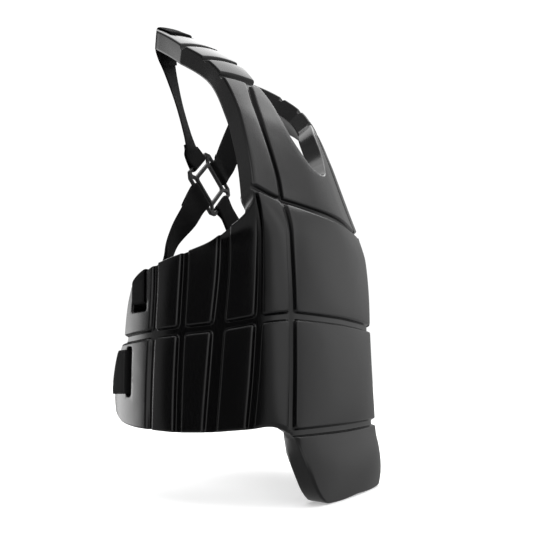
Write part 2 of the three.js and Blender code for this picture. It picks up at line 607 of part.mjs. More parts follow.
/** Side webbing: over the wing's top edge, through its slot, up to the buckle and round its lower bar. */
function sidePath() {
  const { across, along, high } = SLOT.side;
  const gathered = 13; // half width of the webbing where it is drawn together in the slot
  const edge = edgeUnder(L.top6, 'x', RAILS.map((rail) => across + rail * gathered));
  const spot = (v, h) => RAILS.map((rail) => place(across + rail * gathered, v, h));
  const round = (past, h) => RAILS.map((rail, i) => place(across + rail * gathered, edge[i] + past, h));
  const slot = along + high / 2 - OFF;
  const tip = round(OFF + 6, -FOAM - 1);
  const buckle = atBuckle(-1, BUCKLE.half + 14, -0.4 - PLY / 2);
  const run = (part, off = 0) => {
    return between(tip, buckle, part, off, -0.3 * Math.sin(2 * Math.PI * Math.min(part, 0.5)));
  };
  return [
    run(0.22, -PLY), run(0.1, -PLY), round(-4, -FOAM - 3.4), spot(slot + 14, -FOAM - OFF),
    ...throughSlot(spot, slot), round(-9, OFF + 0.3), round(-3, OFF + 0.1),
    round(OFF - 0.1, -0.2), round(OFF + 0.2, -5), round(OFF + 0.2, -FOAM + 6), tip,
    run(0.1), run(0.22), run(0.5, 4), run(0.78), run(0.88), buckle, ...barTurn(-1).toReversed(),
    run(1, PLY), run(0.88, PLY), run(0.78, PLY),
  ];
}

/** Half of the waist band: round the strip at the wing's end, then across the back to the middle. */
function waistHalf() {
  const { across, along, wide } = SLOT.waist;
  const row = (rail) => along + (rail * WAIST_WEB) / 2;
  const edge = edgeUnder(L.low6Up, 'y', RAILS.map(row));
  const spot = (a, h) => RAILS.map((rail) => place(a, row(rail), h));
  const round = (past, h) => RAILS.map((rail, i) => place(edge[i] + past, row(rail), h));
  const back = { y: 278, bow: 20, half: 124, z: 63 };
  const behind = (x, forward = 0) => RAILS.map((rail) => {
    const y = back.y - back.bow * (x / back.half) ** 2 - forward;
    return new THREE.Vector3(x, y, back.z + (rail * WAIST_WEB) / 2);
  });
  const slot = across + wide / 2 - OFF;
  const middle = -FOAM / 2;
  const ease = 1.4; // the band stands off the hollow face a little
  return [
    behind(-80, PLY + 0.6), behind(-97, PLY + 1.2), round(4, middle - PLY / 2 - 0.5),
    round(OFF + 0.3, -FOAM + 5), round(OFF - 0.3, -FOAM - 1), round(-5, -FOAM - OFF - ease),
    spot(slot + 12, -FOAM - OFF - ease), ...throughSlot(spot, slot, ease), spot(slot + 14, OFF + 0.3),
    round(-5, OFF + 0.3), round(OFF - 0.3, 0), round(OFF + 0.3, -5), round(3.2, middle + PLY / 2 + 1),
    behind(-103), behind(-88), behind(-58), behind(-22),
  ];
}

/** The same places on the wearer's left. */
function mirrored(places) {
  return places.map((spot) => spot.map(({ x, y, z }) => new THREE.Vector3(-x, y, z)));
}

const right = waistHalf();
const left = mirrored(right).toReversed();

const finish = (color, roughness) => new THREE.MeshStandardMaterial({ color, roughness, metalness: 0 });
const foamSkin = () => finish(0x1b1b1e, 0.42);
const blackWeb = () => finish(0x101012, 0.9);
const darkPlastic = () => finish(0x26262a, 0.5);

const PIECES = [
  ['foam_shell', fromSolid(shell), foamSkin()],
  ['cross_buckle', buckleGeometry(), darkPlastic()],
  ['shoulder_strap_right', webbing(shoulderPath()), blackWeb()],
  ['shoulder_strap_left', webbing(mirrored(shoulderPath())), blackWeb()],
  ['side_strap_right', webbing(sidePath()), blackWeb()],
  ['side_strap_left', webbing(mirrored(sidePath())), blackWeb()],
  ['waist_strap', webbing([...right, ...left]), blackWeb()],
];

// The origin lies midway between the two places where the straps rest on the shoulders.
const rest = place(REST.across, REST.along, -FOAM);
const group = new THREE.Group();
group.name = 'chest_guard';
for (const [name, geometry, material] of PIECES) {
  geometry.translate(0, -rest.y, -rest.z);
  geometry.computeVertexNormals();
  const mesh = new THREE.Mesh(geometry, material);
  mesh.name = name;
  group.add(mesh);
}

export default group;
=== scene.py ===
import logging
import math
from collections.abc import Callable
from dataclasses import dataclass
from enum import Enum

import bmesh
import bpy
import numpy as np
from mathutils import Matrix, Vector


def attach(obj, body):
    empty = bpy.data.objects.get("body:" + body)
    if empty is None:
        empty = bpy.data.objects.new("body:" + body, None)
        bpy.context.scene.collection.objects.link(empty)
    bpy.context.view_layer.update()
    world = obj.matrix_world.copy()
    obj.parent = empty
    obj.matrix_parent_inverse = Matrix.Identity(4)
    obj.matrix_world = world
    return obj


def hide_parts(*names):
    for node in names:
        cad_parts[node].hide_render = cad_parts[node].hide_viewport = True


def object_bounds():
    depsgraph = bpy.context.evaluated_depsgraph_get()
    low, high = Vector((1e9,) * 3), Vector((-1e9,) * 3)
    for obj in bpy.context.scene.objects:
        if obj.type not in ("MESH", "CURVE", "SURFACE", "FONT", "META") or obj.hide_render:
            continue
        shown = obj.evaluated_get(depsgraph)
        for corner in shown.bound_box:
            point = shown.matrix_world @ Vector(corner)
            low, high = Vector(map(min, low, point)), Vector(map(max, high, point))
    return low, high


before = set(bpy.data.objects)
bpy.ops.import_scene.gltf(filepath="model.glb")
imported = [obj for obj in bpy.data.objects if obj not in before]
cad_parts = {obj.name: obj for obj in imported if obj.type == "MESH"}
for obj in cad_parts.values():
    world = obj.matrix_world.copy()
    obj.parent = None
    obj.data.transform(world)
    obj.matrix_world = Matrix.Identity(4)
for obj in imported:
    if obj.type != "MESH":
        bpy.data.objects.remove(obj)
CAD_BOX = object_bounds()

LOG = logging.getLogger("chest_guard")
MM = 0.001  # metres in a millimetre
RAILS = np.array([-1.0, 0.0, 1.0])  # across the webbing: one edge, the middle, the other edge
MIRROR = np.array([-1.0, 1.0, 1.0])  # turns the wearer's right half into the left one
STEPS = 10  # grid points beside every edge of a pad
ARC_POINTS = 9  # points on every fillet and rounded corner
FAR = 1e3  # millimetres from an edge that no longer counts
LEAST_BEND = 1e-7  # a straight leg is drawn with this slight bend
FINE_WELD = 1e-6  # metres


class Edge(Enum):
    """What runs along one side of a pad, or how a line is divided at its end; tables use the letters."""

    CHANNEL = "c"
    WIDE = "w"
    OUTLINE = "o"
    PLAIN = "p"
    SLANT = "s"
    MITRE = "x"
    MIDDLE = "m"

    @property
    def closed(self) -> bool:
        """Whether a pad's face ends at this edge."""
        return self in (Edge.CHANNEL, Edge.WIDE, Edge.OUTLINE)


class Side(Enum):
    """The wearer's sides, as the sign of X."""

    RIGHT = -1.0
    LEFT = 1.0


# Plane curves


@dataclass(frozen=True)
class Heading:
    """A plane curve whose heading changes evenly between the rows of a table."""

    at: tuple[float, ...]
    turn: tuple[float, ...]

    def follow(self, at: np.ndarray) -> tuple[np.ndarray, np.ndarray, np.ndarray]:
        """Walks the curve arc by arc: run and rise are the integrals of cosine and sine of the heading.

        Args:
            at: Distances along the curve.
        Returns:
            The heading in radians, the run and the rise at each distance.
        """
        start = np.array(self.at)
        angle = np.radians(self.turn)
        length = np.diff(start)
        bend = np.diff(angle) / length
        bend = np.where(np.abs(bend) < LEAST_BEND, LEAST_BEND, bend)
        turned = angle[:-1] + bend * length
        runs = np.r_[0.0, np.cumsum((np.sin(turned) - np.sin(angle[:-1])) / bend)]
        rises = np.r_[0.0, np.cumsum((np.cos(angle[:-1]) - np.cos(turned)) / bend)]
        leg = np.clip(np.searchsorted(start, at, side="right") - 1, 0, len(length) - 1)
        end = angle[leg] + bend[leg] * (at - start[leg])
        run = runs[leg] + (np.sin(end) - np.sin(angle[leg])) / bend[leg]
        rise = rises[leg] + (np.cos(angle[leg]) - np.cos(end)) / bend[leg]
        return end, run, rise


def smooth(value: np.ndarray, low: float, high: float) -> np.ndarray:
    """Rises from 0 at low to 1 at high as 3x squared minus 2x cubed."""
    x = np.clip((value - low) / (high - low), 0.0, 1.0)
    return x * x * (3.0 - 2.0 * x)


def centripetal(points: np.ndarray, samples: int) -> np.ndarray:
    """A smooth curve through points: cubic legs, their end slopes weighed by the roots of the distances.

    Args:
        points: Two or more points, one per row, in any number of dimensions.
        samples: Samples on each leg.
    Returns:
        The sampled curve, one point per row.
    """
    points = np.asarray(points, float)
    padded = np.vstack([2 * points[0] - points[1], points, 2 * points[-1] - points[-2]])
    gap = np.sqrt(np.linalg.norm(np.diff(padded, axis=0), axis=1))[:, None]
    p0, p1, p2, p3 = padded[:-3], padded[1:-2], padded[2:-1], padded[3:]
    g0, g1, g2 = gap[:-2], gap[1:-1], gap[2:]
    m1 = ((p1 - p0) / g0 - (p2 - p0) / (g0 + g1) + (p2 - p1) / g1) * g1
    m2 = ((p2 - p1) / g1 - (p3 - p1) / (g1 + g2) + (p3 - p2) / g2) * g1
    u = (np.arange(samples) / samples)[None, :, None]
    legs = (
        (2 * u**3 - 3 * u**2 + 1) * p1[:, None]
        + (u**3 - 2 * u**2 + u) * m1[:, None]
        + (3 * u**2 - 2 * u**3) * p2[:, None]
        + (u**3 - u**2) * m2[:, None]
    )
    return np.vstack([legs.reshape(-1, points.shape[1]), points[-1:]])


def travelled(points: np.ndarray) -> np.ndarray:
    """Distance along a sampled curve, from its first point to each of its points."""
    return np.r_[0.0, np.cumsum(np.linalg.norm(np.diff(points, axis=0), axis=1))]


# Flat pattern of the guard


@dataclass(frozen=True)
class FoamSizes:
    """Thickness, channels, rounded rims, crowns and slots of the foam, in millimetres."""

    thick: float = 25.0
    channel_depth: float = 5.2
    channel_floor: float = 3.0
    channel_lip: float = 5.3
    channel_wider: float = 3.5
    floor_fillet: float = 0.6
    lip_fillet: float = 2.2
    rim_front: float = 2.5
    rim_back: float = 3.0
    crown: float = 2.0
    crown_start: float = 4.0
    crown_fade: float = 16.0
    pad_corner: float = 8.0
    end_corner: float = 8.0
    slot_corner: float = 3.0
    slot_flare: float = 2.2


@dataclass(frozen=True)
class Form:
    """The worn form: level sections and upright profile that carry the flat pattern into space."""

    torso: Heading = Heading((0, 99, 114, 150, 240, 285, 392), (0, 9.5, 40, 73.8, 74.7, 100.6, 127.3))
    chest: Heading = Heading((0, 45, 145, 260), (0, 12.5, 13, 15))
    shoulder: Heading = Heading((0, 80, 145, 260), (0, 8.4, 29, 39))
    profile: Heading = Heading(
        (-90, -60, -30, -14, -6, 130, 150, 248, 270, 310, 370, 430, 500, 640),
        (-5, 3, 13, 18, 2.5, 0, 0.5, 8.2, 20, 18.5, 18.5, 29, 49, 63.3),
    )
    rising: tuple[float, float] = (215.0, 275.0)  # along, from the torso's section to the chest's
    topping: tuple[float, float] = (390.0, 470.0)  # along, from the chest's section to the shoulder's
    rest: tuple[float, float, float] = (110.0, 560.0, -25.0)  # across, along and height of a shoulder rest

    def model(self, across: np.ndarray, along: np.ndarray, height: np.ndarray,
              side: Side = Side.RIGHT) -> np.ndarray:
        """Bends the pattern: a level section, mixed of all three, is set square on the leaning profile.

        Args:
            across: Distance from the middle, in the pattern.
            along: Distance up from the waist channel, in the pattern.
            height: Distance out of the face of the pads.
            side: The wearer's side.
        Returns:
            Points in millimetres, with the waist channel's middle at zero.
        """
        across, along, height = np.broadcast_arrays(*(np.asarray(v, float) for v in (across, along, height)))
        rising, topping = smooth(along, *self.rising), smooth(along, *self.topping)
        sections = [section.follow(across) for section in (self.torso, self.chest, self.shoulder)]
        turn, run, rise = (a + (b - a) * rising + (c - b) * topping for a, b, c in zip(*sections))
        out = run + height * np.sin(turn)
        back = rise - height * np.cos(turn)
        lean, up, depth = self.profile.follow(along)
        _, up0, depth0 = self.profile.follow(np.array(0.0))
        y = depth - depth0 + back * np.cos(lean)
        z = up - up0 - back * np.sin(lean)
        return np.stack([side.value * out, y, z], axis=-1)

    def origin(self) -> np.ndarray:
        """The row's origin in the model's millimetres: midway between the two shoulder rests."""
        _, y, z = self.model(*map(np.array, self.rest))
        return np.array([0.0, y, z])

    def to_row(self, points: np.ndarray) -> np.ndarray:
        """Moves model millimetres into the row's frame, in metres."""
        return (points - self.origin()) * MM


CORNERS: dict[str, tuple[float, float]] = {
    "flapMid": (0, -75), "flapEnd": (73, -75.5), "g3Mid": (0, 0), "g3": (112.3, 0),
    "low2": (157.5, 5.5), "low3": (202.3, 3.2), "low4": (240.2, 3.8), "low5": (278.5, 7), "low6": (361, 24),
    "g2Mid": (0, 124), "mid1": (106.2, 123), "mid2": (146.6, 118.5), "mid3": (192.5, 112.3),
    "mid4": (236.4, 109.2), "mid5": (275.3, 106.8), "mid6": (338, 104),
    "g1Mid": (0, 254.5), "top1": (102.5, 260.5), "top2": (144, 275.5), "top3": (183.2, 227),
    "top4": (231.5, 209), "top5": (272.3, 199), "top6": (320.5, 175.5),
    "neckMid": (0, 321), "neckTurn": (36.5, 352),
    "neckA": (72.5, 441.5), "neckB": (80, 478), "neckC": (80, 521), "neckEnd": (83, 592),
    "midA": (90, 440.5), "midB": (97, 478), "midC": (99, 521), "midEnd": (100, 597),
    "armA": (132.5, 441.5), "armB": (139, 479), "armC": (146.5, 521), "armEnd": (139.5, 592),
}


class EdgeSteps:
    """Where the grid points lie beside each kind of edge, and how deep the foam is pressed in there."""

    ON_FLOOR = np.array([0.0, 0.45, 0.8, 0.95])  # shares of the floor's half width
    FOOT = 0.35  # beyond the floor's edge
    ABOUT_LIP = np.array([-0.7, 0.1, 0.9, 2.0])
    SLANTED = 1.35  # steps grow by this along a line that leaves its edge askew
    MITRED = 1.41

    def __init__(self, sizes: FoamSizes) -> None:
        """Works out the steps of every kind of edge.

        Args:
            sizes: The foam's sizes.
        """
        self.sizes = sizes
        floor, lip = sizes.channel_floor, sizes.channel_lip
        wall = (floor + self.FOOT, 0.5 * (floor + lip))
        channel = np.concatenate([self.ON_FLOOR * floor, wall, lip + self.ABOUT_LIP])
        quarter = np.linspace(0.0, 0.5 * math.pi, STEPS)
        rim = sizes.rim_front * (1.0 - np.cos(quarter))
        self.steps: dict[Edge, np.ndarray] = {
            Edge.CHANNEL: channel,
            Edge.WIDE: channel + sizes.channel_wider * np.minimum(channel / floor, 1.0),
            Edge.OUTLINE: rim,
            Edge.PLAIN: channel,
            Edge.SLANT: self.SLANTED * channel,
            Edge.MITRE: self.MITRED * channel,
            Edge.MIDDLE: np.zeros(1),
        }

    def channel(self, away: np.ndarray) -> np.ndarray:
        """Depth of a channel: a flat floor and a slanted wall, with a fillet at its foot and at its lip.

        Args:
            away: Distances from the channel's middle.
        Returns:
            Heights, zero on the face and negative in the channel.
        """
        s = self.sizes
        wall = math.atan2(s.channel_depth, s.channel_lip - s.channel_floor)
        half = math.tan(wall / 2)
        bend = np.linspace(0.0, wall, ARC_POINTS)
        low_x = s.channel_floor - s.floor_fillet * half + s.floor_fillet * np.sin(bend)
        low_y = -s.channel_depth + s.floor_fillet * (1 - np.cos(bend))
        high_x = s.channel_lip + s.lip_fillet * half - s.lip_fillet * np.sin(bend[::-1])
        high_y = -s.lip_fillet * (1 - np.cos(bend[::-1]))
        return np.interp(away, np.r_[0.0, low_x, high_x], np.r_[-s.channel_depth, low_y, high_y])

    def rim(self, away: np.ndarray, radius: float) -> np.ndarray:
        """Depth of a rounded rim at a distance from the outline: a quarter circle."""
        inside = np.clip(radius - away, 0.0, radius)
        return np.sqrt(radius**2 - inside**2) - radius


class Line:
    """A pattern line between two corners, with the places of its grid points."""

    def __init__(self, curve: np.ndarray, at: np.ndarray) -> None:
        """Keeps the sampled curve and its grid points.

        Args:
            curve: The sampled curve, across and along.
            at: Distances of the grid points along it.
        """
        self.curve = curve
        self.at = at
        arc = travelled(curve)
        self.length = float(arc[-1])
        self.points = np.stack([np.interp(at, arc, curve[:, k]) for k in range(2)], axis=-1)

    def reversed(self) -> "Line":
        """The same line, followed the other way."""
        return Line(self.curve[::-1], self.length - self.at[::-1])

    def crossing(self, axis: int, value: float) -> float:
        """Where the line passes a given value of one coordinate: the other coordinate there."""
        order = np.argsort(self.curve[:, axis])
        return float(np.interp(value, self.curve[order, axis], self.curve[order, 1 - axis]))


@dataclass(frozen=True)
class Pad:
    """One pad of the pattern: its four lines, bottom, right, top, left, and what runs along each."""

    lines: tuple[Line, Line, Line, Line]
    edges: tuple[Edge, Edge, Edge, Edge]
    crown: float


class Pattern:
    """All lines and pads of the wearer's right half, laid flat."""

    COUNT = {"centre": 14, "side": 12, "wing": 7, "tip": 10, "flap": 8, "row": 14, "neck": 6, "chest": 18,
             "strap": 6, "end": 9}  # grid points between the fine steps at a line's ends
    LEG_SAMPLES = 120

    def __init__(self, sizes: FoamSizes) -> None:
        """Lays out the lines and the pads.

        Args:
            sizes: The foam's sizes.
        """
        self.sizes = sizes
        self.steps = EdgeSteps(sizes)
        self.lines = self.lay_lines()
        self.pads = self.lay_pads()

    def line(self, start: str, end: str, kinds: str, count: str,
             through: tuple[tuple[float, float], ...] = ()) -> Line:
        """Divides a line between two corners: fine beside both ends, even in between.

        Args:
            start: Name of the first corner.
            end: Name of the last corner.
            kinds: Letters of the kinds of edge at its two ends.
            count: Which count of points lies in between.
            through: Pattern points that it passes.
        Returns:
            The line.
        """
        curve = centripetal(np.array([CORNERS[start], *through, CORNERS[end]]), self.LEG_SAMPLES)
        length = travelled(curve)[-1]
        first, last = (self.steps.steps[Edge(kind)] for kind in kinds)
        last = length - last[::-1]
        inner = np.linspace(first[-1], last[0], self.COUNT[count] + 2)[1:-1]
        return Line(curve, np.concatenate([first, inner, last]))

    def lay_lines(self) -> dict[str, Line]:
        """Lays out all lines: those across run outwards, those along run up.

        Returns:
            The lines by name.
        """
        n = self.line
        return {
            "flapEnd": n("flapMid", "flapEnd", "mo", "centre", ((41, -76.3),)),
            "g3": n("g3Mid", "g3", "mc", "centre"),
            "low2": n("g3", "low2", "cc", "side", ((133, 7.5),)),
            "low3": n("low2", "low3", "cw", "wing"),
            "low4": n("low3", "low4", "wc", "wing"),
            "low5": n("low4", "low5", "cc", "wing"),
            "low6": n("low5", "low6", "co", "tip", ((309, 9.5), (342, 15))),
            "mid1": n("g2Mid", "mid1", "mc", "centre"),
            "mid2": n("mid1", "mid2", "cc", "side"),
            "mid3": n("mid2", "mid3", "cw", "wing"),
            "mid4": n("mid3", "mid4", "wc", "wing"),
            "mid5": n("mid4", "mid5", "cc", "wing"),
            "mid6": n("mid5", "mid6", "co", "tip"),
            "top1": n("g1Mid", "top1", "mc", "centre", ((35, 255.3), (70, 257.8))),
            "top2": n("top1", "top2", "cc", "side"),
            "top3": n("top2", "top3", "cw", "wing", ((147, 256), (154, 245.5), (165, 237))),
            "top4": n("top3", "top4", "wc", "wing", ((201, 217.8),)),
            "top5": n("top4", "top5", "cc", "wing"),
            "top6": n("top5", "top6", "co", "tip", ((287, 193), (303, 187.5))),
            "neckLow": n("neckMid", "neckTurn", "mp", "centre", ((10, 322.6), (21.5, 329))),
            "ribAIn": n("neckA", "midA", "oc", "neck"),
            "ribBIn": n("neckB", "midB", "op", "neck"),
            "ribCIn": n("neckC", "midC", "op", "neck"),
            "endIn": n("neckEnd", "midEnd", "op", "neck"),
            "ribAOut": n("midA", "armA", "co", "side"),
            "ribBOut": n("midB", "armB", "po", "side"),
            "ribCOut": n("midC", "armC", "po", "side"),
            "endOut": n("midEnd", "armEnd", "po", "side", ((122, 597),)),
            "flapMid": n("flapMid", "g3Mid", "oc", "flap"),
            "flapSide": n("flapEnd", "g3", "oc", "flap", ((88, -59), (96, -41), (101.5, -23), (105.5, -8.5))),
            "lowMid": n("g3Mid", "g2Mid", "cc", "row"),
            "low1Up": n("g3", "mid1", "cc", "row", ((108, 65),)),
            "low2Up": n("low2", "mid2", "oc", "row", ((151.3, 56),)),
            "low3Up": n("low3", "mid3", "oc", "row", ((197, 57),)),
            "low4Up": n("low4", "mid4", "oc", "row", ((238.6, 57),)),
            "low5Up": n("low5", "mid5", "oc", "row", ((277, 58),)),
            "low6Up": n("low6", "mid6", "os", "row", ((368.5, 42), (366.5, 60), (357, 83))),
            "highMid": n("g2Mid", "g1Mid", "cc", "row"),
            "mid1Up": n("mid1", "top1", "cc", "row", ((107.5, 195),)),
            "mid2Up": n("mid2", "top2", "cc", "row", ((144.5, 186), (142, 230))),
            "mid3Up": n("mid3", "top3", "co", "row", ((187.5, 165),)),
            "mid4Up": n("mid4", "top4", "co", "row", ((234, 170),)),
            "mid5Up": n("mid5", "top5", "co", "row", ((273.5, 150),)),
            "mid6Up": n("mid6", "top6", "co", "row", ((335, 127), (331, 146))),
            "chestMid": n("g1Mid", "neckMid", "co", "neck"),
            "mitre": n("top1", "neckTurn", "xo", "neck", ((78, 293),)),
            "neckUp": n("neckTurn", "neckA", "pc", "chest", ((44, 367), (51, 393), (55.5, 413), (63, 428))),
            "top1Up": n("top1", "midA", "cc", "chest", ((95.5, 290), (93.7, 320), (95, 376), (94.5, 410))),
            "armUp": n("top2", "armA", "cc", "chest",
                       ((140, 290), (135.2, 311), (129.8, 353), (127.6, 386), (128.8, 415))),
            "neckAB": n("neckA", "neckB", "cc", "strap"),
            "midAB": n("midA", "midB", "cc", "strap"),
            "armAB": n("armA", "armB", "cc", "strap"),
            "neckBC": n("neckB", "neckC", "cc", "strap"),
            "midBC": n("midB", "midC", "cc", "strap"),
            "armBC": n("armB", "armC", "cc", "strap"),
            "neckCEnd": n("neckC", "neckEnd", "co", "end"),
            "midCEnd": n("midC", "midEnd", "co", "end"),
            "armCEnd": n("armC", "armEnd", "co", "end"),
        }

    def lay_pads(self) -> list[Pad]:
        """Lays out all pads, each by its four lines, the letters of its edges and whether it is crowned.

        Returns:
            The pads of one half.
        """
        table = [
            ("flapEnd", "flapSide", "g3", "flapMid", "oocm", 1),
            ("g3", "low1Up", "mid1", "lowMid", "cccm", 1),
            ("low2", "low2Up", "mid2", "low1Up", "occc", 1),
            ("low3", "low3Up", "mid3", "low2Up", "owcc", 1),
            ("low4", "low4Up", "mid4", "low3Up", "occw", 1),
            ("low5", "low5Up", "mid5", "low4Up", "occc", 1),
            ("low6", "low6Up", "mid6", "low5Up", "oocc", 0),
            ("mid1", "mid1Up", "top1", "highMid", "cccm", 1),
            ("mid2", "mid2Up", "top2", "mid1Up", "cccc", 1),
            ("mid3", "mid3Up", "top3", "mid2Up", "cwoc", 1),
            ("mid4", "mid4Up", "top4", "mid3Up", "ccow", 1),
            ("mid5", "mid5Up", "top5", "mid4Up", "ccoc", 1),
            ("mid6", "mid6Up", "top6", "mid5Up", "cooc", 0),
            ("top1", "mitre", "neckLow", "chestMid", "cpom", 0),
            ("-mitre", "top1Up", "ribAIn", "neckUp", "pcco", 0),
            ("top2", "armUp", "ribAOut", "top1Up", "cocc", 1),
            ("ribAIn", "midAB", "ribBIn", "neckAB", "cpco", 0),
            ("ribAOut", "armAB", "ribBOut", "midAB", "cocp", 0),
            ("ribBIn", "midBC", "ribCIn", "neckBC", "cpco", 0),
            ("ribBOut", "armBC", "ribCOut", "midBC", "cocp", 0),
            ("ribCIn", "midCEnd", "endIn", "neckCEnd", "cpoo", 0),
            ("ribCOut", "armCEnd", "endOut", "midCEnd", "coop", 0),
        ]

        def named(name: str) -> Line:
            """The line of that name; a leading minus turns it round."""
            return self.lines[name[1:]].reversed() if name[0] == "-" else self.lines[name]

        return [
            Pad(tuple(map(named, names)), tuple(map(Edge, edges)), crowned * self.sizes.crown)
            for *names, edges, crowned in table
        ]


# Meshes


def weld(mesh: bpy.types.Mesh, distance: float) -> None:
    """Merges double points, drops faces without area and turns all faces outwards.

    Args:
        mesh: The mesh, changed in place.
        distance: Points closer than this become one, in metres.
    """
    work = bmesh.new()
    work.from_mesh(mesh)
    bmesh.ops.remove_doubles(work, verts=work.verts, dist=distance)
    bmesh.ops.dissolve_degenerate(work, dist=FINE_WELD, edges=work.edges)
    bmesh.ops.recalc_face_normals(work, faces=work.faces)
    work.to_mesh(mesh)
    work.free()


def shade_smooth(mesh: bpy.types.Mesh, sharp: float) -> None:
    """Shades a mesh smooth, except across edges that turn by more than an angle in degrees."""
    mesh.polygons.foreach_set("use_smooth", np.ones(len(mesh.polygons), bool))
    mesh.set_sharp_from_angle(angle=math.radians(sharp))


class MeshParts:
    """Collects vertices, faces and two values per vertex, and makes one welded mesh of them."""

    def __init__(self) -> None:
        """Starts empty."""
        self.points: list[np.ndarray] = []
        self.faces: list[np.ndarray] = []
        self.values: list[np.ndarray] = []
        self.total = 0

    def grid(self, points: np.ndarray, flip: bool, first: np.ndarray | float = 0.0,
             second: np.ndarray | float = 0.0) -> None:
        """Adds a grid of points as four-sided faces.

        Args:
            points: Rows by columns by three.
            flip: Whether the faces turn the other way.
            first: The first value of each point.
            second: The second value of each point.
        """
        rows, columns = points.shape[:2]
        index = np.arange(rows * columns).reshape(rows, columns) + self.total
        quads = np.stack([index[:-1, :-1], index[:-1, 1:], index[1:, 1:], index[1:, :-1]], axis=-1)
        values = [np.broadcast_to(value, (rows, columns)).ravel() for value in (first, second, 0.0)]
        self.points.append(points.reshape(-1, 3))
        self.values.append(np.stack(values, axis=-1))
        self.faces.append(quads.reshape(-1, 4)[:, ::-1 if flip else 1])
        self.total += rows * columns

    def mesh(self, name: str, value_name: str = "", distance: float = FINE_WELD) -> bpy.types.Mesh:
        """Welds everything into one mesh.

        Args:
            name: The mesh's name.
            value_name: Name of the layer of vertex values, or nothing.
            distance: Points closer than this become one, in metres.
        Returns:
            The mesh.
        """
        points = np.concatenate(self.points)
        faces = np.concatenate(self.faces)
        mesh = bpy.data.meshes.new(name)
        mesh.vertices.add(len(points))
        mesh.vertices.foreach_set("co", points.astype(np.float32).ravel())
        mesh.loops.add(faces.size)
        mesh.loops.foreach_set("vertex_index", faces.astype(np.int32).ravel())
        mesh.polygons.add(len(faces))
        mesh.polygons.foreach_set("loop_start", np.arange(0, faces.size, 4, dtype=np.int32))
        mesh.update(calc_edges=True)
        if value_name:
            layer = mesh.attributes.new(value_name, "FLOAT_VECTOR", "POINT")
            layer.data.foreach_set("vector", np.concatenate(self.values).astype(np.float32).ravel())
        weld(mesh, distance)
        return mesh


def show(name: str, mesh: bpy.types.Mesh, material: bpy.types.Material) -> bpy.types.Object:
    """Puts a mesh into the scene, at the origin.

    Args:
        name: The object's name.
        mesh: Its mesh.
        material: Its finish.
    Returns:
        The new object.
    """
    mesh.materials.clear()
    mesh.materials.append(material)
    piece = bpy.data.objects.new(name, mesh)
    bpy.context.scene.collection.objects.link(piece)
    return piece


# Shader arithmetic


class Wire:
    """A shader socket that takes part in Python arithmetic."""

    def __init__(self, shader: "Shader", socket: bpy.types.NodeSocket) -> None:
        """Wraps one output socket of a shader."""
        self.shader = shader
        self.socket = socket

    def maths(self, operation: str, *values: "Wire | float") -> "Wire":
        """Adds one Math node."""
        return self.shader.node("ShaderNodeMath", {"operation": operation}, dict(enumerate(values)))

    def __add__(self, other: "Wire | float") -> "Wire":
        """Sum."""
        return self.maths("ADD", self, other)

    __radd__ = __add__

    def __sub__(self, other: "Wire | float") -> "Wire":
        """Difference."""
        return self.maths("SUBTRACT", self, other)

    def __rsub__(self, other: "Wire | float") -> "Wire":
        """Difference, from the left."""
        return self.maths("SUBTRACT", other, self)

    def __mul__(self, other: "Wire | float") -> "Wire":
        """Product."""
        return self.maths("MULTIPLY", self, other)

    __rmul__ = __mul__

    def sine(self) -> "Wire":
        """Sine of the value."""
        return self.maths("SINE", self)

    def clipped(self) -> "Wire":
        """The value held between 0 and 1."""
        return self.maths("MINIMUM", self.maths("MAXIMUM", self, 0.0), 1.0)


class Shader:
    """The node tree of a material or of the world."""

    MIX_LOW, MIX_HIGH, MIXED = 6, 7, 2  # the Mix node's sockets for colours

    def __init__(self, tree: bpy.types.NodeTree) -> None:
        """Empties the tree and keeps it."""
        tree.nodes.clear()
        self.tree = tree

    def node(self, kind: str, settings: dict[str, object] | None = None,
             inputs: dict[object, object] | None = None, output: object = 0) -> Wire:
        """Adds any node.

        Args:
            kind: The node's type.
            settings: Properties that are set first.
            inputs: Values or links of its sockets, by name or number.
            output: Which output is returned.
        Returns:
            That output, ready for arithmetic.
        """
        made = self.tree.nodes.new(kind)
        for key, value in (settings or {}).items():
            setattr(made, key, value)
        for key, value in (inputs or {}).items():
            if isinstance(value, Wire):
                self.tree.links.new(value.socket, made.inputs[key])
            else:
                made.inputs[key].default_value = value
        return Wire(self, made.outputs[output] if made.outputs else None)

    def value(self, layer: str, axis: str) -> Wire:
        """One of a mesh's vertex values: the named component of the named layer."""
        where = self.node("ShaderNodeAttribute", {"attribute_name": layer}, output="Vector")
        return self.node("ShaderNodeSeparateXYZ", inputs={0: where}, output=axis)

    def noise(self, scale: float, detail: float) -> Wire:
        """Noise on object coordinates."""
        where = self.node("ShaderNodeTexCoord", output="Object")
        return self.node("ShaderNodeTexNoise", inputs={"Vector": where, "Scale": scale, "Detail": detail})

    def mix_colour(self, factor: Wire | float, low: tuple[float, ...], high: tuple[float, ...]) -> Wire:
        """Mixes two colours."""
        inputs = {"Factor": factor, self.MIX_LOW: (*low, 1.0), self.MIX_HIGH: (*high, 1.0)}
        return self.node("ShaderNodeMix", {"data_type": "RGBA"}, inputs, self.MIXED)

    def bump(self, height: Wire, strength: float, distance: float, normal: Wire | None = None) -> Wire:
        """Adds a Bump node for the Normal socket.

        Args:
            height: What is raised.
            strength: Share of the bump that shows.
            distance: How high it rises, in metres.
            normal: Another bump that this one lies on, if any.
        Returns:
            The bent normal.
        """
        inputs: dict[object, object] = {"Height": height, "Strength": strength, "Distance": distance}
        if normal is not None:
            inputs["Normal"] = normal
        return self.node("ShaderNodeBump", inputs=inputs, output="Normal")

    def surface(self, inputs: dict[object, object]) -> None:
        """Adds the Principled shader and the material's output."""
        shader = self.node("ShaderNodeBsdfPrincipled", inputs=inputs, output="BSDF")
        self.node("ShaderNodeOutputMaterial", inputs={"Surface": shader})


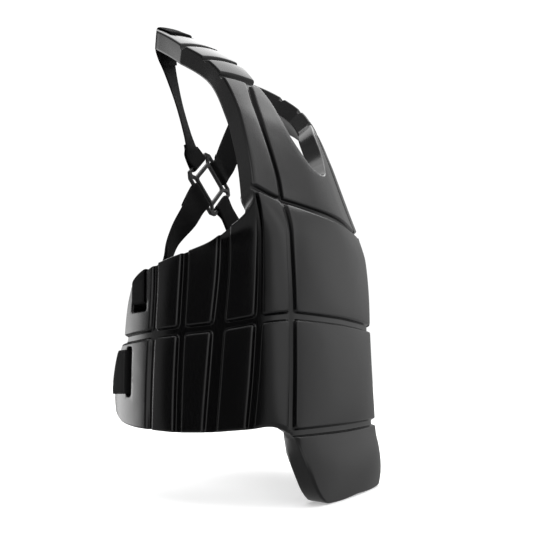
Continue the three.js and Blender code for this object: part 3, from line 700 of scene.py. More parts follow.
def blank_material(name: str) -> tuple[bpy.types.Material, Shader]:
    """Makes a material without nodes.

    Args:
        name: Its name.
    Returns:
        The material and its empty node tree.
    """
    material = bpy.data.materials.new(name)
    material.use_nodes = True
    return material, Shader(material.node_tree)


# Finishes


@dataclass(frozen=True)
class DippedVinyl:
    """Black vinyl skin dipped over foam: satin, finely grained, uneven, and glossier in the channels."""

    dark: tuple[float, float, float] = (0.0012, 0.0012, 0.0014)
    light: tuple[float, float, float] = (0.0028, 0.0027, 0.003)
    rough: float = 0.22
    clouds: float = 9.0  # noise scales, per metre
    waves: float = 26.0
    speckles: float = 420.0
    grains: float = 1150.0

    def make(self) -> bpy.types.Material:
        """Builds the material: two noises vary colour and roughness, fine grain and slow waves are bumps.

        Returns:
            The material.
        """
        material, shader = blank_material("dipped_vinyl")
        groove = shader.value("groove", "X")
        cloud = shader.noise(self.clouds, 3.0)
        speckle = shader.noise(self.speckles, 2.0)
        grain = shader.noise(self.grains, 1.0)
        waves = shader.noise(self.waves, 1.0)
        tone = (cloud * 0.7 + speckle * 0.5 - 0.1).clipped()
        rough = self.rough + (cloud - 0.5) * 0.08 + (speckle - 0.5) * 0.06 - groove * 0.05
        fine = shader.bump(grain, 0.08, 0.0004)
        shader.surface({
            "Base Color": shader.mix_colour(tone, self.dark, self.light),
            "Roughness": rough,
            "Normal": shader.bump(waves, 0.1, 0.004, fine),
        })
        return material


@dataclass(frozen=True)
class Webbing:
    """Black woven webbing: ribbed plain weave that follows the piece's own run, matte."""

    dark: tuple[float, float, float] = (0.0015, 0.0015, 0.0016)
    light: tuple[float, float, float] = (0.008, 0.008, 0.0085)
    yarn: float = 0.0019  # metres from yarn to yarn, across and along
    pick: float = 0.0013
    fuzz: float = 2600.0  # noise scale, per metre

    def make(self) -> bpy.types.Material:
        """Builds the material: yarns rise and fall as the product of two sines, with fuzz on top.

        Returns:
            The material.
        """
        material, shader = blank_material("black_webbing")
        across = shader.value("weave", "X") * (2 * math.pi / self.yarn)
        along = shader.value("weave", "Y") * (2 * math.pi / self.pick)
        weave = across.sine() * along.sine() * 0.5 + 0.5
        ribs = along.sine() * 0.25 + 0.5
        fuzz = shader.noise(self.fuzz, 2.0)
        height = weave * 0.6 + ribs * 0.4 + fuzz * 0.25
        tone = (weave * 0.6 + fuzz * 0.5 - 0.1).clipped()
        shader.surface({
            "Base Color": shader.mix_colour(tone, self.dark, self.light),
            "Roughness": 0.7 + fuzz * 0.2,
            "Normal": shader.bump(height, 0.5, 0.0006),
            "Specular IOR Level": 0.12,
        })
        return material


@dataclass(frozen=True)
class MouldedPlastic:
    """Dark grey moulded plastic of the buckle: satin, with a faint spark-eroded grain."""

    colour: tuple[float, float, float] = (0.008, 0.008, 0.0085)
    worn: tuple[float, float, float] = (0.016, 0.016, 0.0165)
    clouds: float = 120.0  # noise scales, per metre
    grains: float = 2200.0

    def make(self) -> bpy.types.Material:
        """Builds the material: noise varies colour and roughness, and fine grain is a bump.

        Returns:
            The material.
        """
        material, shader = blank_material("moulded_plastic")
        cloud = shader.noise(self.clouds, 3.0)
        grain = shader.noise(self.grains, 1.0)
        shader.surface({
            "Base Color": shader.mix_colour((cloud * 1.4 - 0.3).clipped(), self.colour, self.worn),
            "Roughness": 0.42 + (cloud - 0.5) * 0.16,
            "Normal": shader.bump(grain, 0.15, 0.0002),
        })
        return material


@dataclass(frozen=True)
class PaleFloor:
    """Matte white studio floor."""

    dull: tuple[float, float, float] = (0.9, 0.9, 0.9)
    bright: tuple[float, float, float] = (0.909, 0.909, 0.909)
    clouds: float = 3.0  # noise scale, per metre
    glow: float = 0.38

    def make(self) -> bpy.types.Material:
        """Builds the material: a faint slow variation on white.

        Returns:
            The material.
        """
        material, shader = blank_material("pale_floor")
        shader.surface({
            "Base Color": shader.mix_colour(shader.noise(self.clouds, 2.0), self.dull, self.bright),
            "Roughness": 0.85,
            "Specular IOR Level": 0.1,
            "Emission Color": (1.0, 1.0, 1.0, 1.0),
            "Emission Strength": self.glow,
        })
        return material


# Foam shell


@dataclass(frozen=True)
class Slot:
    """A strap slot through the foam: its middle and size in the pattern, in millimetres."""

    across: float
    along: float
    wide: float
    high: float


SLOTS = {
    "shoulder": Slot(111, 567, 42, 10),
    "side": Slot(302, 140, 30, 12),
    "waist": Slot(321, 68.5, 11, 53),
}


@dataclass
class FoamShell:
    """The moulded body: crowned pads parted by pressed channels, one closed skin with rounded rims."""

    form: Form
    pattern: Pattern

    STRIDE = 8  # grid points from a corner to where its edges' directions are taken
    WALL = np.array([0.0, 0.03, 0.1, 0.35, 0.65, 0.9, 0.97, 1.0])[:, None]  # rows from back to face
    SNAP = 1  # decimals of a millimetre to which pattern points of neighbouring pads are matched
    SEAM = 2e-5  # metres; grid points of neighbouring pads that are closer become one
    FLARE_ROWS = np.array([0.0, 0.15, 0.4, 0.7, 1.0])
    RING_POINTS = 33
    OVERSHOOT = 6.0  # of a slot's cutting bar beyond the foam, in millimetres
    SHARP = 80.0  # degrees

    def fill(self, pad: Pad) -> tuple[np.ndarray, np.ndarray, np.ndarray]:
        """Fills a pad with a grid: the sum of both line blends less the blend of the four corners.

        Args:
            pad: The pad.
        Returns:
            Pattern points (rows, columns, 2), front heights and back heights.
        """
        sizes, steps = self.pattern.sizes, self.pattern.steps
        bottom, right, top, left = pad.lines
        share = [line.at / line.length for line in pad.lines]
        level = 0.5 * (share[3] + share[1])[:, None]
        s = share[0][None, :] * (1 - level) + share[2][None, :] * level
        t = share[3][:, None] * (1 - s) + share[1][:, None] * s
        s3, t3 = s[..., None], t[..., None]
        points = (
            (1 - t3) * bottom.points[None] + t3 * top.points[None]
            + (1 - s3) * left.points[:, None] + s3 * right.points[:, None]
            - (1 - s3) * (1 - t3) * bottom.points[0] - s3 * (1 - t3) * bottom.points[-1]
            - (1 - s3) * t3 * top.points[0] - s3 * t3 * top.points[-1]
        )
        rows, columns = s.shape
        places = (np.arange(rows), np.arange(columns)[::-1], np.arange(rows)[::-1], np.arange(columns))
        shapes = ((rows, 1), (1, columns), (rows, 1), (1, columns))
        away: list[np.ndarray] = []
        for edge, place, shape in zip(pad.edges, places, shapes):
            known = steps.steps[edge]
            near = known[np.minimum(place, len(known) - 1)]
            distance = np.where(edge.closed & (place < len(known)), near, FAR)
            away.append(np.broadcast_to(distance.reshape(shape), s.shape))
        tall = left.length * (1 - s) + right.length * s
        broad = bottom.length * (1 - t) + top.length * t
        real = (t * tall, (1 - s) * broad, (1 - t) * tall, s * broad)
        swell = np.ones_like(s)
        for edge, distance in zip(pad.edges, real):
            if edge.closed:
                within = np.maximum(distance - sizes.crown_start, 0.0)
                swell = swell * (1 - np.exp(-within / sizes.crown_fade))
        front = self.dig(pad, away) + pad.crown * swell
        back = np.full_like(s, -sizes.thick)
        for edge, distance in zip(pad.edges, away):
            if edge is Edge.OUTLINE:
                scaled = distance * sizes.rim_back / sizes.rim_front
                back = np.maximum(back, -sizes.thick - steps.rim(scaled, sizes.rim_back))
        points = self.round_corners(pad, points, real)
        return points, front, back

    def dig(self, pad: Pad, away: list[np.ndarray]) -> np.ndarray:
        """Depth of the pad's face: channels meet in rounded corners, and a rim rounds off whatever it meets.

        Args:
            pad: The pad.
            away: Distance of each grid point from the four edges.
        Returns:
            Heights, zero on the face and negative in channels and rims.
        """
        sizes, steps = self.pattern.sizes, self.pattern.steps
        far = np.full_like(away[0], FAR)
        wider = {Edge.CHANNEL: 0.0, Edge.WIDE: sizes.channel_wider}
        level = [
            np.maximum(distance - wider[edge], 0.0) if edge in wider else far
            for edge, distance in zip(pad.edges, away)
        ]
        near_x = np.minimum(level[1], level[3])
        near_y = np.minimum(level[0], level[2])
        reach = sizes.pad_corner
        round_x, round_y = np.maximum(reach - near_x, 0.0), np.maximum(reach - near_y, 0.0)
        both = (round_x > 0) & (round_y > 0)
        nearest = np.where(both, reach - np.hypot(round_x, round_y), np.minimum(near_x, near_y))
        channel = steps.channel(np.maximum(nearest, 0.0))
        rim = np.zeros_like(channel)
        for edge, distance in zip(pad.edges, away):
            if edge is Edge.OUTLINE:
                rim = -np.hypot(rim, steps.rim(np.minimum(distance, sizes.rim_front), sizes.rim_front))
        return -np.hypot(channel, rim)

    def round_corners(self, pad: Pad, points: np.ndarray, real: tuple[np.ndarray, ...]) -> np.ndarray:
        """Rounds the corners where two outlines meet: a square of the pattern is drawn in to a quarter disc.

        Args:
            pad: The pad.
            points: Its pattern points.
            real: Distance of each grid point from the four edges, along the pattern.
        Returns:
            The moved points.
        """
        reach = self.pattern.sizes.end_corner
        moved = points.copy()
        for one, other in ((0, 1), (1, 2), (2, 3), (3, 0)):
            if pad.edges[one] is not Edge.OUTLINE or pad.edges[other] is not Edge.OUTLINE:
                continue
            row = -1 if 2 in (one, other) else 0
            column = -1 if 1 in (one, other) else 0
            level, upright = (one, other) if one in (0, 2) else (other, one)
            along = points[row, column - self.STRIDE if column else self.STRIDE] - points[row, column]
            up = points[row - self.STRIDE if row else self.STRIDE, column] - points[row, column]
            along, up = along / np.linalg.norm(along), up / np.linalg.norm(up)
            u = np.clip(1 - real[upright] / reach, 0, 1)
            v = np.clip(1 - real[level] / reach, 0, 1)
            draw_u = reach * u * (1 - np.sqrt(1 - 0.5 * v * v))
            draw_v = reach * v * (1 - np.sqrt(1 - 0.5 * u * u))
            moved += draw_u[..., None] * along + draw_v[..., None] * up
        return moved

    def skin(self) -> bpy.types.Mesh:
        """Joins all pads into one closed skin: where two meet, the deeper face and the higher back hold.

        Returns:
            The skin of both sides.
        """
        filled = [self.fill(pad) for pad in self.pattern.pads]
        flat = np.concatenate([points.reshape(-1, 2) for points, _, _ in filled])
        _, owner = np.unique(np.round(flat, self.SNAP), axis=0, return_inverse=True)
        owner = owner.ravel()
        low = np.full(owner.max() + 1, np.inf)
        high = np.full(owner.max() + 1, -np.inf)
        np.minimum.at(low, owner, np.concatenate([front.ravel() for _, front, _ in filled]))
        np.maximum.at(high, owner, np.concatenate([back.ravel() for _, _, back in filled]))
        parts = MeshParts()
        start = 0
        for pad, (points, front, _) in zip(self.pattern.pads, filled):
            count = front.size
            mine = owner[start:start + count].reshape(front.shape)
            start += count
            self.add_pad(parts, pad, points, low[mine], high[mine])
        return parts.mesh("foam_skin", "groove", self.SEAM)

    def add_pad(self, parts: MeshParts, pad: Pad, points: np.ndarray, front: np.ndarray,
                back: np.ndarray) -> None:
        """Adds one pad's face, back and outline walls, on both sides of the body.

        Args:
            parts: Collects the surfaces.
            pad: The pad.
            points: Its pattern points.
            front: Heights of its face.
            back: Heights of its back.
        """
        groove = np.clip(-front / self.pattern.sizes.channel_depth, 0, 1)
        edges = ((0, slice(None)), (slice(None), -1), (-1, slice(None)), (slice(None), 0))
        for side in Side:
            flip = side is Side.RIGHT
            face = self.form.model(points[..., 0], points[..., 1], front, side)
            rear = self.form.model(points[..., 0], points[..., 1], back, side)
            parts.grid(self.form.to_row(face), flip, groove)
            parts.grid(self.form.to_row(rear), not flip)
            for number, (edge, take) in enumerate(zip(pad.edges, edges)):
                if edge is not Edge.OUTLINE:
                    continue
                height = back[take][None] * (1 - self.WALL) + front[take][None] * self.WALL
                wall = self.form.model(points[take][None, :, 0], points[take][None, :, 1], height, side)
                parts.grid(self.form.to_row(wall), flip if number in (0, 1) else not flip)

    def cutters(self) -> bpy.types.Mesh:
        """Carries a rounded rectangle through the foam at each slot, flared by quarter circles at both faces.

        Returns:
            The bars that cut the slots.
        """
        sizes = self.pattern.sizes
        corner, r = sizes.slot_corner, sizes.slot_flare
        turn = np.linspace(0.0, 2 * math.pi, self.RING_POINTS)
        dip = self.FLARE_ROWS * r
        heights = np.r_[-sizes.thick - self.OVERSHOOT, -sizes.thick + dip, -dip[::-1], self.OVERSHOOT]
        inside = np.clip(np.minimum(-heights, heights + sizes.thick), 0.0, r)
        grow = r - np.sqrt(np.maximum(r**2 - (r - inside) ** 2, 0.0))
        parts = MeshParts()
        for slot in SLOTS.values():
            ring_x = np.sign(np.round(np.cos(turn), 6)) * (slot.wide / 2 - corner) + corner * np.cos(turn)
            ring_y = np.sign(np.round(np.sin(turn), 6)) * (slot.high / 2 - corner) + corner * np.sin(turn)
            x = ring_x[None] + grow[:, None] * np.cos(turn)[None]
            y = ring_y[None] + grow[:, None] * np.sin(turn)[None]
            tall = np.broadcast_to(heights[:, None], x.shape)
            for end in (0, -1):
                cap = [np.stack([ring[end], 0 * ring[end]]) for ring in (x, y)]
                self.add_bar(parts, slot, *cap, np.stack([tall[end]] * 2))
            self.add_bar(parts, slot, x, y, tall)
        return parts.mesh("slot_bars")

    def add_bar(self, parts: MeshParts, slot: Slot, x: np.ndarray, y: np.ndarray, tall: np.ndarray) -> None:
        """Adds one surface of a slot's bar on both sides of the body.

        Args:
            parts: Collects the surfaces.
            slot: The slot.
            x: Distances across from the slot's middle.
            y: Distances along from the slot's middle.
            tall: Heights.
        """
        for side in Side:
            spots = self.form.model(slot.across + x, slot.along + y, tall, side)
            parts.grid(self.form.to_row(spots), False)

    def build(self, finish: bpy.types.Material) -> bpy.types.Object:
        """Args:
            finish: The vinyl.
        Returns:
            The finished shell.
        """
        shell = show("foam_body", self.skin(), finish)
        bars = show("slot_bars", self.cutters(), finish)
        cut = shell.modifiers.new("slots", "BOOLEAN")
        cut.operation = "DIFFERENCE"
        cut.solver = "EXACT"
        cut.object = bars
        made = shell.evaluated_get(bpy.context.evaluated_depsgraph_get())
        mesh = bpy.data.meshes.new_from_object(made)
        shell.modifiers.clear()
        old = shell.data
        shell.data = mesh
        bpy.data.meshes.remove(old)
        bpy.data.objects.remove(bars)
        shade_smooth(mesh, self.SHARP)
        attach(shell, "root")
        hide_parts("foam_shell")
        return shell


# Buckle and webbing


@dataclass(frozen=True)
class BuckleSizes:
    """The diamond plate, in millimetres: half widths, rounded corners, thickness and place."""

    hole: float = 19.5
    bar: float = 25.0
    slot: float = 33.0
    half: float = 38.0
    link: float = 3.5  # from a slot's end to the plate's diagonal
    corner: float = 8.0
    plate_round: float = 3.0
    hole_round: float = 3.5
    slot_round: float = 1.6
    thick: float = 4.5
    bevel: float = 1.1
    y: float = 211.5
    z: float = 334.0
    tilt: float = 0.13  # radians

    def axes(self) -> tuple[np.ndarray, np.ndarray, np.ndarray, np.ndarray]:
        """Where the plate lies on the back.

        Returns:
            Its right, up and back directions, and its middle in model millimetres.
        """
        up = np.array([0.0, math.sin(self.tilt), math.cos(self.tilt)])
        back = np.array([0.0, math.cos(self.tilt), -math.sin(self.tilt)])
        return np.array([1.0, 0.0, 0.0]), up, back, np.array([0.0, self.y, self.z])


@dataclass
class CrossBuckle:
    """The diamond plate on the back, with cut corners, a middle hole and a slot along each side."""

    form: Form
    sizes: BuckleSizes

    SHARP = 35.0  # degrees

    @staticmethod
    def rounded(corners: np.ndarray, radius: float) -> np.ndarray:
        """A convex outline with rounded corners: each arc turns from one edge's normal to the next one's.

        Args:
            corners: The outline's corners, counter-clockwise.
            radius: Of the arcs.
        Returns:
            The closed outline, one arc to a corner.
        """
        ahead = np.roll(corners, -1, axis=0) - corners
        ahead = ahead / np.linalg.norm(ahead, axis=1, keepdims=True)
        after = np.stack([ahead[:, 1], -ahead[:, 0]], axis=-1)
        before = np.roll(after, 1, axis=0)
        facing = np.sum(before * after, axis=1)
        middle = corners - radius * (before + after) / (1 + facing)[:, None]
        first = np.arctan2(before[:, 1], before[:, 0])[:, None]
        angle = first + np.arccos(np.clip(facing, -1, 1))[:, None] * np.linspace(0.0, 1.0, ARC_POINTS)
        return (middle[:, None] + radius * np.stack([np.cos(angle), np.sin(angle)], axis=-1)).reshape(-1, 2)

    def loops(self) -> list[np.ndarray]:
        """Draws one side of the plate and turns it by quarters: outline, middle hole and four slots.

        Returns:
            The closed outlines.
        """
        s = self.sizes
        cut = s.half - s.corner
        side = np.array([[s.half, -cut], [s.half, cut]])
        square = np.array([[s.hole, s.hole]])
        slot = np.array([[s.bar, s.link - s.bar], [s.slot, s.link - s.slot],
                         [s.slot, s.slot - s.link], [s.bar, s.bar - s.link]])
        quarters = [np.array([[c, d], [-d, c]]) for c, d in ((1, 0), (0, 1), (-1, 0), (0, -1))]
        plate, hole = (np.concatenate([points @ turn for turn in quarters]) for points in (side, square))
        return [
            self.rounded(plate, s.plate_round), self.rounded(hole, s.hole_round),
            *(self.rounded(slot @ turn, s.slot_round) for turn in quarters),
        ]

    def mesh(self) -> bpy.types.Mesh:
        """Fills the outlines as a plate with rounded edges, then turns it to its place on the back.

        Returns:
            The plate.
        """
        s = self.sizes
        outline = bpy.data.curves.new("plate_outline", "CURVE")
        outline.dimensions = "2D"
        outline.fill_mode = "BOTH"
        outline.extrude = s.thick / 2 - s.bevel
        outline.bevel_depth = s.bevel
        outline.bevel_resolution = 3
        outline.offset = -s.bevel
        for loop in self.loops():
            spline = outline.splines.new("POLY")
            spline.points.add(len(loop) - 1)
            spline.points.foreach_set("co", np.c_[loop, np.zeros(len(loop)), np.ones(len(loop))].ravel())
            spline.use_cyclic_u = True
        carrier = bpy.data.objects.new("plate_outline", outline)
        bpy.context.scene.collection.objects.link(carrier)
        mesh = bpy.data.meshes.new_from_object(carrier.evaluated_get(bpy.context.evaluated_depsgraph_get()))
        bpy.data.objects.remove(carrier)
        flat = np.empty(len(mesh.vertices) * 3)
        mesh.vertices.foreach_get("co", flat)
        flat = flat.reshape(-1, 3)
        right, up, back, middle = s.axes()
        c = math.sqrt(0.5)
        turned_x, turned_y = c * (flat[:, 0] - flat[:, 1]), c * (flat[:, 0] + flat[:, 1])
        spots = middle + turned_x[:, None] * right + turned_y[:, None] * up - flat[:, 2:] * back
        mesh.vertices.foreach_set("co", self.form.to_row(spots).ravel())
        weld(mesh, FINE_WELD)
        shade_smooth(mesh, self.SHARP)
        return mesh

    def build(self, finish: bpy.types.Material) -> bpy.types.Object:
        """Args:
            finish: The plastic.
        Returns:
            The finished plate.
        """
        plate = show("buckle_plate", self.mesh(), finish)
        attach(plate, "root")
        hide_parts("cross_buckle")
        return plate


@dataclass(frozen=True)
class WebSizes:
    """Webbing, in millimetres."""

    width: float = 38.0
    gathered: float = 26.0
    waist: float = 48.0
    thick: float = 2.0
    gap: float = 0.5
    ply_gap: float = 0.6

    def off(self) -> float:
        """From the face that the webbing lies on to its middle."""
        return self.gap + self.thick / 2

    def ply(self) -> float:
        """From ply to ply where the webbing lies double."""
        return self.thick + self.ply_gap


@dataclass
class Straps:
    """Webbing on the back: two shoulder straps and two side straps on the buckle, and a waist band.

    The places of each way are millimetres from the faces, edges and bars that the webbing passes.
    """

    form: Form
    pattern: Pattern
    buckle: BuckleSizes
    web: WebSizes
    shoulder_twist: float = -0.42  # most turn of a run, in radians
    side_twist: float = -0.3
    approach: float = 14.0  # from the plate's edge to where a straight run ends
    band_back: float = 278.0  # where the waist band lies furthest back
    band_bow: float = 20.0  # how far it bows forward at its reach to each side
    band_reach: float = 124.0
    band_height: float = 63.0

    LEG_SAMPLES = 7
    EDGE_SAMPLES = 17
    ACROSS = 13  # points across the webbing
    SELVEDGE = 14  # power by which it thins towards its edges
    THINNEST = 0.02
    SHARP = 60.0  # degrees
    CLEAR = 0.3  # millimetres added between the foam's edge and the webbing
    AHEAD = 0.4  # millimetres, with half a ply, from the plate's middle plane forward to a run's end

    def at_buckle(self, up: float, out: float, off: float) -> np.ndarray:
        """Three points across the webbing beside one bar.

        Args:
            up: 1 for the upper bar, -1 for the lower one.
            out: Distance from the plate's middle.
            off: Distance behind the plate's middle plane.
        Returns:
            The three points.
        """
        right, rise, back, middle = self.buckle.axes()
        away = (up * rise - right) / math.sqrt(2)
        bar = (-rise - up * right) / math.sqrt(2)
        return middle + out * away + off * back + RAILS[:, None] * (self.web.width / 2) * bar

    def arrival(self, up: float) -> np.ndarray:
        """Three points where the straight run to the upper (1) or lower (-1) bar ends."""
        return self.at_buckle(up, self.buckle.half + self.approach, -self.AHEAD - self.web.ply() / 2)

    def between(self, start: np.ndarray, end: np.ndarray, part: float, off: float,
                twist: float) -> np.ndarray:
        """Three points across the webbing on the straight run between two places, turned about that run.

        Args:
            start: Three points at the start.
            end: Three points at the end.
            part: How far along, from 0 to 1.
            off: How far it is moved off its face.
            twist: Turn about the run, in radians.
        Returns:
            The three points.
        """
        run = (end[1] - start[1]) / np.linalg.norm(end[1] - start[1])
        middle = start[1] + part * (end[1] - start[1])
        arm = (1 - part) * (start[2] - start[0]) + part * (end[2] - end[0])
        arm = arm - run * (arm @ run)
        arm = arm / np.linalg.norm(arm)
        arm = arm * math.cos(twist) + np.cross(run, arm) * math.sin(twist)
        return middle + off * np.cross(run, arm) + RAILS[:, None] * (self.web.width / 2) * arm

    def bar_turn(self, up: float) -> list[np.ndarray]:
        """The turn around one buckle bar.

        Args:
            up: 1 for the upper bar, -1 for the lower one.
        Returns:
            Three points at each place, from the back ply to the front ply.
        """
        b, web = self.buckle, self.web
        off = b.thick / 2 + web.off()
        inside = b.slot - web.off()
        rows = ((b.half + 1, off), (b.slot + 1, off + 0.2), (inside, off - 1.6),
                (inside, 1.6 - off), (b.slot + 1, -off - 0.2), (b.half + 1, -off))
        return [self.at_buckle(up, *row) for row in rows]

    def edge_under(self, line: str, axis: int, values: np.ndarray) -> np.ndarray:
        """The foam's edge under the three rails, moved out until straight webbing between them clears it.

        Args:
            line: Name of the pattern line.
            axis: Which pattern coordinate the rails are given by.
            values: That coordinate of the three rails.
        Returns:
            The other coordinate of the three rails.
        """
        outline = self.pattern.lines[line]
        fine = np.linspace(values[0], values[-1], self.EDGE_SAMPLES)
        edge, real = (np.array([outline.crossing(axis, value) for value in row]) for row in (values, fine))
        return edge + max(0.0, float(np.max(real - np.interp(fine, values, edge)))) + self.CLEAR

    def through_slot(self, spot: Callable[[float, float], np.ndarray], wall: float,
                     ease: float = 0.1) -> list[np.ndarray]:
        """The way through a slot, close to one of its walls.

        Args:
            spot: Gives three points across the webbing at a distance and a height.
            wall: Distance of the webbing's middle at that wall.
            ease: Extra room behind the foam.
        Returns:
            Three points at each place, from the back of the foam to its front.
        """
        foam, off = self.pattern.sizes.thick, self.web.off()
        rows = ((wall + 6, -foam - off - ease), (wall + 0.4, -foam - 1.3), (wall - 0.2, -foam + 3),
                (wall - 0.2, -3), (wall + 0.4, 1.3), (wall + 6, off + 0.1))
        return [spot(*row) for row in rows]

    def shoulder_path(self) -> list[np.ndarray]:
        """Leads the webbing round the shoulder's end, down to the buckle and round its upper bar.

        Returns:
            Three points at each place.
        """
        web, slot = self.web, SLOTS["shoulder"]
        foam, off, ply = self.pattern.sizes.thick, web.off(), web.ply()
        across = slot.across + RAILS * web.width / 2

        def spot(along: float, height: float) -> np.ndarray:
            """Three points across the webbing, at a distance along the pattern and a height."""
            return self.form.model(across, along, height)

        wall = slot.along + slot.high / 2 - off
        end = CORNERS["midEnd"][1] + web.gap + off
        tip = spot(end - 3.5, -foam - 6)
        buckle = self.arrival(1)

        def run(part: float, lift: float = 0.0) -> np.ndarray:
            """Three points on the turned run from the shoulder to the buckle."""
            twist = self.shoulder_twist * math.sqrt(math.sin(math.pi * part))
            return self.between(tip, buckle, part, lift, twist)

        return [
            run(0.12, -ply), run(0.06, -ply - 0.3), spot(end - 9, -foam - 2.6),
            *self.through_slot(spot, wall), spot(end - 10, off), spot(end - 3.4, off + 0.1),
            spot(end - 0.2, -0.3), spot(end, -6), spot(end, -foam + 3), spot(end - 1, -foam - 1.5), tip,
            *map(run, (0.06, 0.12, 0.2, 0.5, 0.8, 0.9, 0.95)), buckle,
            *reversed(self.bar_turn(1)), run(1, ply), run(0.95, ply), run(0.9, ply),
        ]

    def side_path(self) -> list[np.ndarray]:
        """Leads the webbing through the wing's slot, over its top edge and round the buckle's lower bar.

        Returns:
            Three points at each place.
        """
        web, slot = self.web, SLOTS["side"]
        foam, off, ply = self.pattern.sizes.thick, web.off(), web.ply()
        across = slot.across + RAILS * web.gathered / 2
        edge = self.edge_under("top6", 0, across)

        def spot(along: float, height: float) -> np.ndarray:
            """Three points across the gathered webbing, at a distance along the pattern and a height."""
            return self.form.model(across, along, height)

        def past(beyond: float, height: float) -> np.ndarray:
            """Three points beyond the wing's top edge."""
            return self.form.model(across, edge + beyond, height)

        wall = slot.along + slot.high / 2 - off
        tip = past(off + 6, -foam - 1)
        buckle = self.arrival(-1)

        def run(part: float, lift: float = 0.0) -> np.ndarray:
            """Three points on the turned run from the wing to the buckle."""
            twist = self.side_twist * math.sin(2 * math.pi * min(part, 0.5))
            return self.between(tip, buckle, part, lift, twist)

        return [
            run(0.22, -ply), run(0.1, -ply), past(-4, -foam - 3.4), spot(wall + 14, -foam - off),
            *self.through_slot(spot, wall), past(-9, off + 0.3), past(-3, off + 0.1),
            past(off - 0.1, -0.2), past(off + 0.2, -5), past(off + 0.2, -foam + 6), tip,
            run(0.1), run(0.22), run(0.5, 4), run(0.78), run(0.88), buckle, *reversed(self.bar_turn(-1)),
            run(1, ply), run(0.88, ply), run(0.78, ply),
        ]

    def waist_path(self) -> list[np.ndarray]:
        """Leads the band round the strip at each wing's end and across the back, bowed as a parabola.

        Returns:
            Three points at each place.
        """
        web, slot = self.web, SLOTS["waist"]
        foam, off, ply = self.pattern.sizes.thick, web.off(), web.ply()
        rows = slot.along + RAILS * web.waist / 2
        edge = self.edge_under("low6Up", 1, rows)

        def spot(across: float, height: float) -> np.ndarray:
            """Three points across the band, at a distance across the pattern and a height."""
            return self.form.model(across, rows, height)

        def past(beyond: float, height: float) -> np.ndarray:
            """Three points beyond the wing's end."""
            return self.form.model(edge + beyond, rows, height)

        def behind(x: float, forward: float = 0.0) -> np.ndarray:
            """Three points on the band's way across the back.

            Args:
                x: Distance from the middle, negative on the wearer's right.
                forward: How far they lie in front of the outer ply.
            Returns:
                The three points.
            """
            y = self.band_back - self.band_bow * (x / self.band_reach) ** 2 - forward
            z = self.band_height + RAILS * web.waist / 2
            return np.stack(np.broadcast_arrays(x, y, z), axis=-1)

        wall = slot.across + slot.wide / 2 - off
        middle = -foam / 2
        ease = 1.4
        half = [
            behind(-80, ply + 0.6), behind(-97, ply + 1.2), past(4, middle - ply / 2 - 0.5),
            past(off + 0.3, -foam + 5), past(off - 0.3, -foam - 1), past(-5, -foam - off - ease),
            spot(wall + 12, -foam - off - ease), *self.through_slot(spot, wall, ease),
            spot(wall + 14, off + 0.3), past(-5, off + 0.3), past(off - 0.3, 0), past(off + 0.3, -5),
            past(3.2, middle + ply / 2 + 1), *map(behind, (-103, -88, -58, -22)),
        ]
        return half + [places * MIRROR for places in reversed(half)]

    def ribbon(self, name: str, places: list[np.ndarray], mirror: bool = False) -> bpy.types.Mesh:
        """Sweeps webbing through its places: a parabola across, a smooth curve along, thin at both selvedges.

        Args:
            name: The mesh's name.
            places: Three points across the webbing, at each place of its way.
            mirror: Whether it changes sides.
        Returns:
            The closed mesh, with its distances across and along the webbing as vertex values, in metres.
        """
        stack = np.stack(places).reshape(len(places), 9)
        rails = centripetal(stack, self.LEG_SAMPLES).reshape(-1, 3, 3)
        if mirror:
            rails = rails * MIRROR
        w = np.sin(np.linspace(-0.5 * math.pi, 0.5 * math.pi, self.ACROSS))
        weights = np.stack([w * (w - 1) / 2, 1 - w * w, w * (w + 1) / 2])
        sheet = np.einsum("nrk,rw->nwk", rails, weights)
        along = np.gradient(sheet, axis=0)
        across = np.gradient(sheet, axis=1)
        normal = np.cross(along, across)
        normal /= np.linalg.norm(normal, axis=-1, keepdims=True)
        half = 0.5 * self.web.thick * np.sqrt(np.clip(1 - np.abs(w) ** self.SELVEDGE, self.THINNEST, 1.0))
        top = self.form.to_row(sheet + normal * half[None, :, None])
        under = self.form.to_row(sheet - normal * half[None, :, None])
        width = travelled(sheet[len(sheet) // 2]) * MM
        length = travelled(sheet[:, len(w) // 2])[:, None] * MM
        loop = np.concatenate([top, under[:, ::-1], top[:, :1]], axis=1)
        parts = MeshParts()
        parts.grid(loop, False, np.concatenate([width, width[::-1], width[:1]]), length)
        for end in (0, -1):
            parts.grid(np.stack([top[end], under[end]]), end == 0, width, length[end])
        mesh = parts.mesh(name, "weave")
        shade_smooth(mesh, self.SHARP)
        return mesh

    def build(self, finish: bpy.types.Material) -> list[bpy.types.Object]:
        """Args:
            finish: The webbing.
        Returns:
            The finished straps.
        """
        made = []
        for stem, path in (("shoulder_strap", self.shoulder_path()), ("side_strap", self.side_path())):
            for side in Side:
                word = side.name.lower()
                mesh = self.ribbon(f"{stem}_{word}_web", path, side is Side.LEFT)
                made.append((f"{stem}_{word}", show(f"{stem}_{word}_web", mesh, finish)))
        made.append(("waist_strap", show("waist_web", self.ribbon("waist_web", self.waist_path()), finish)))
        for node, strap in made:
            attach(strap, "root")
            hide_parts(node)
        return [strap for _, strap in made]


# Studio


@dataclass(frozen=True)
class Glow:
    """One light or dark area of the surround: its direction, its soft edge and its strength."""

    way: tuple[float, float, float]
    inner: float  # cosines of the angles between which it fades
    outer: float
    bright: float


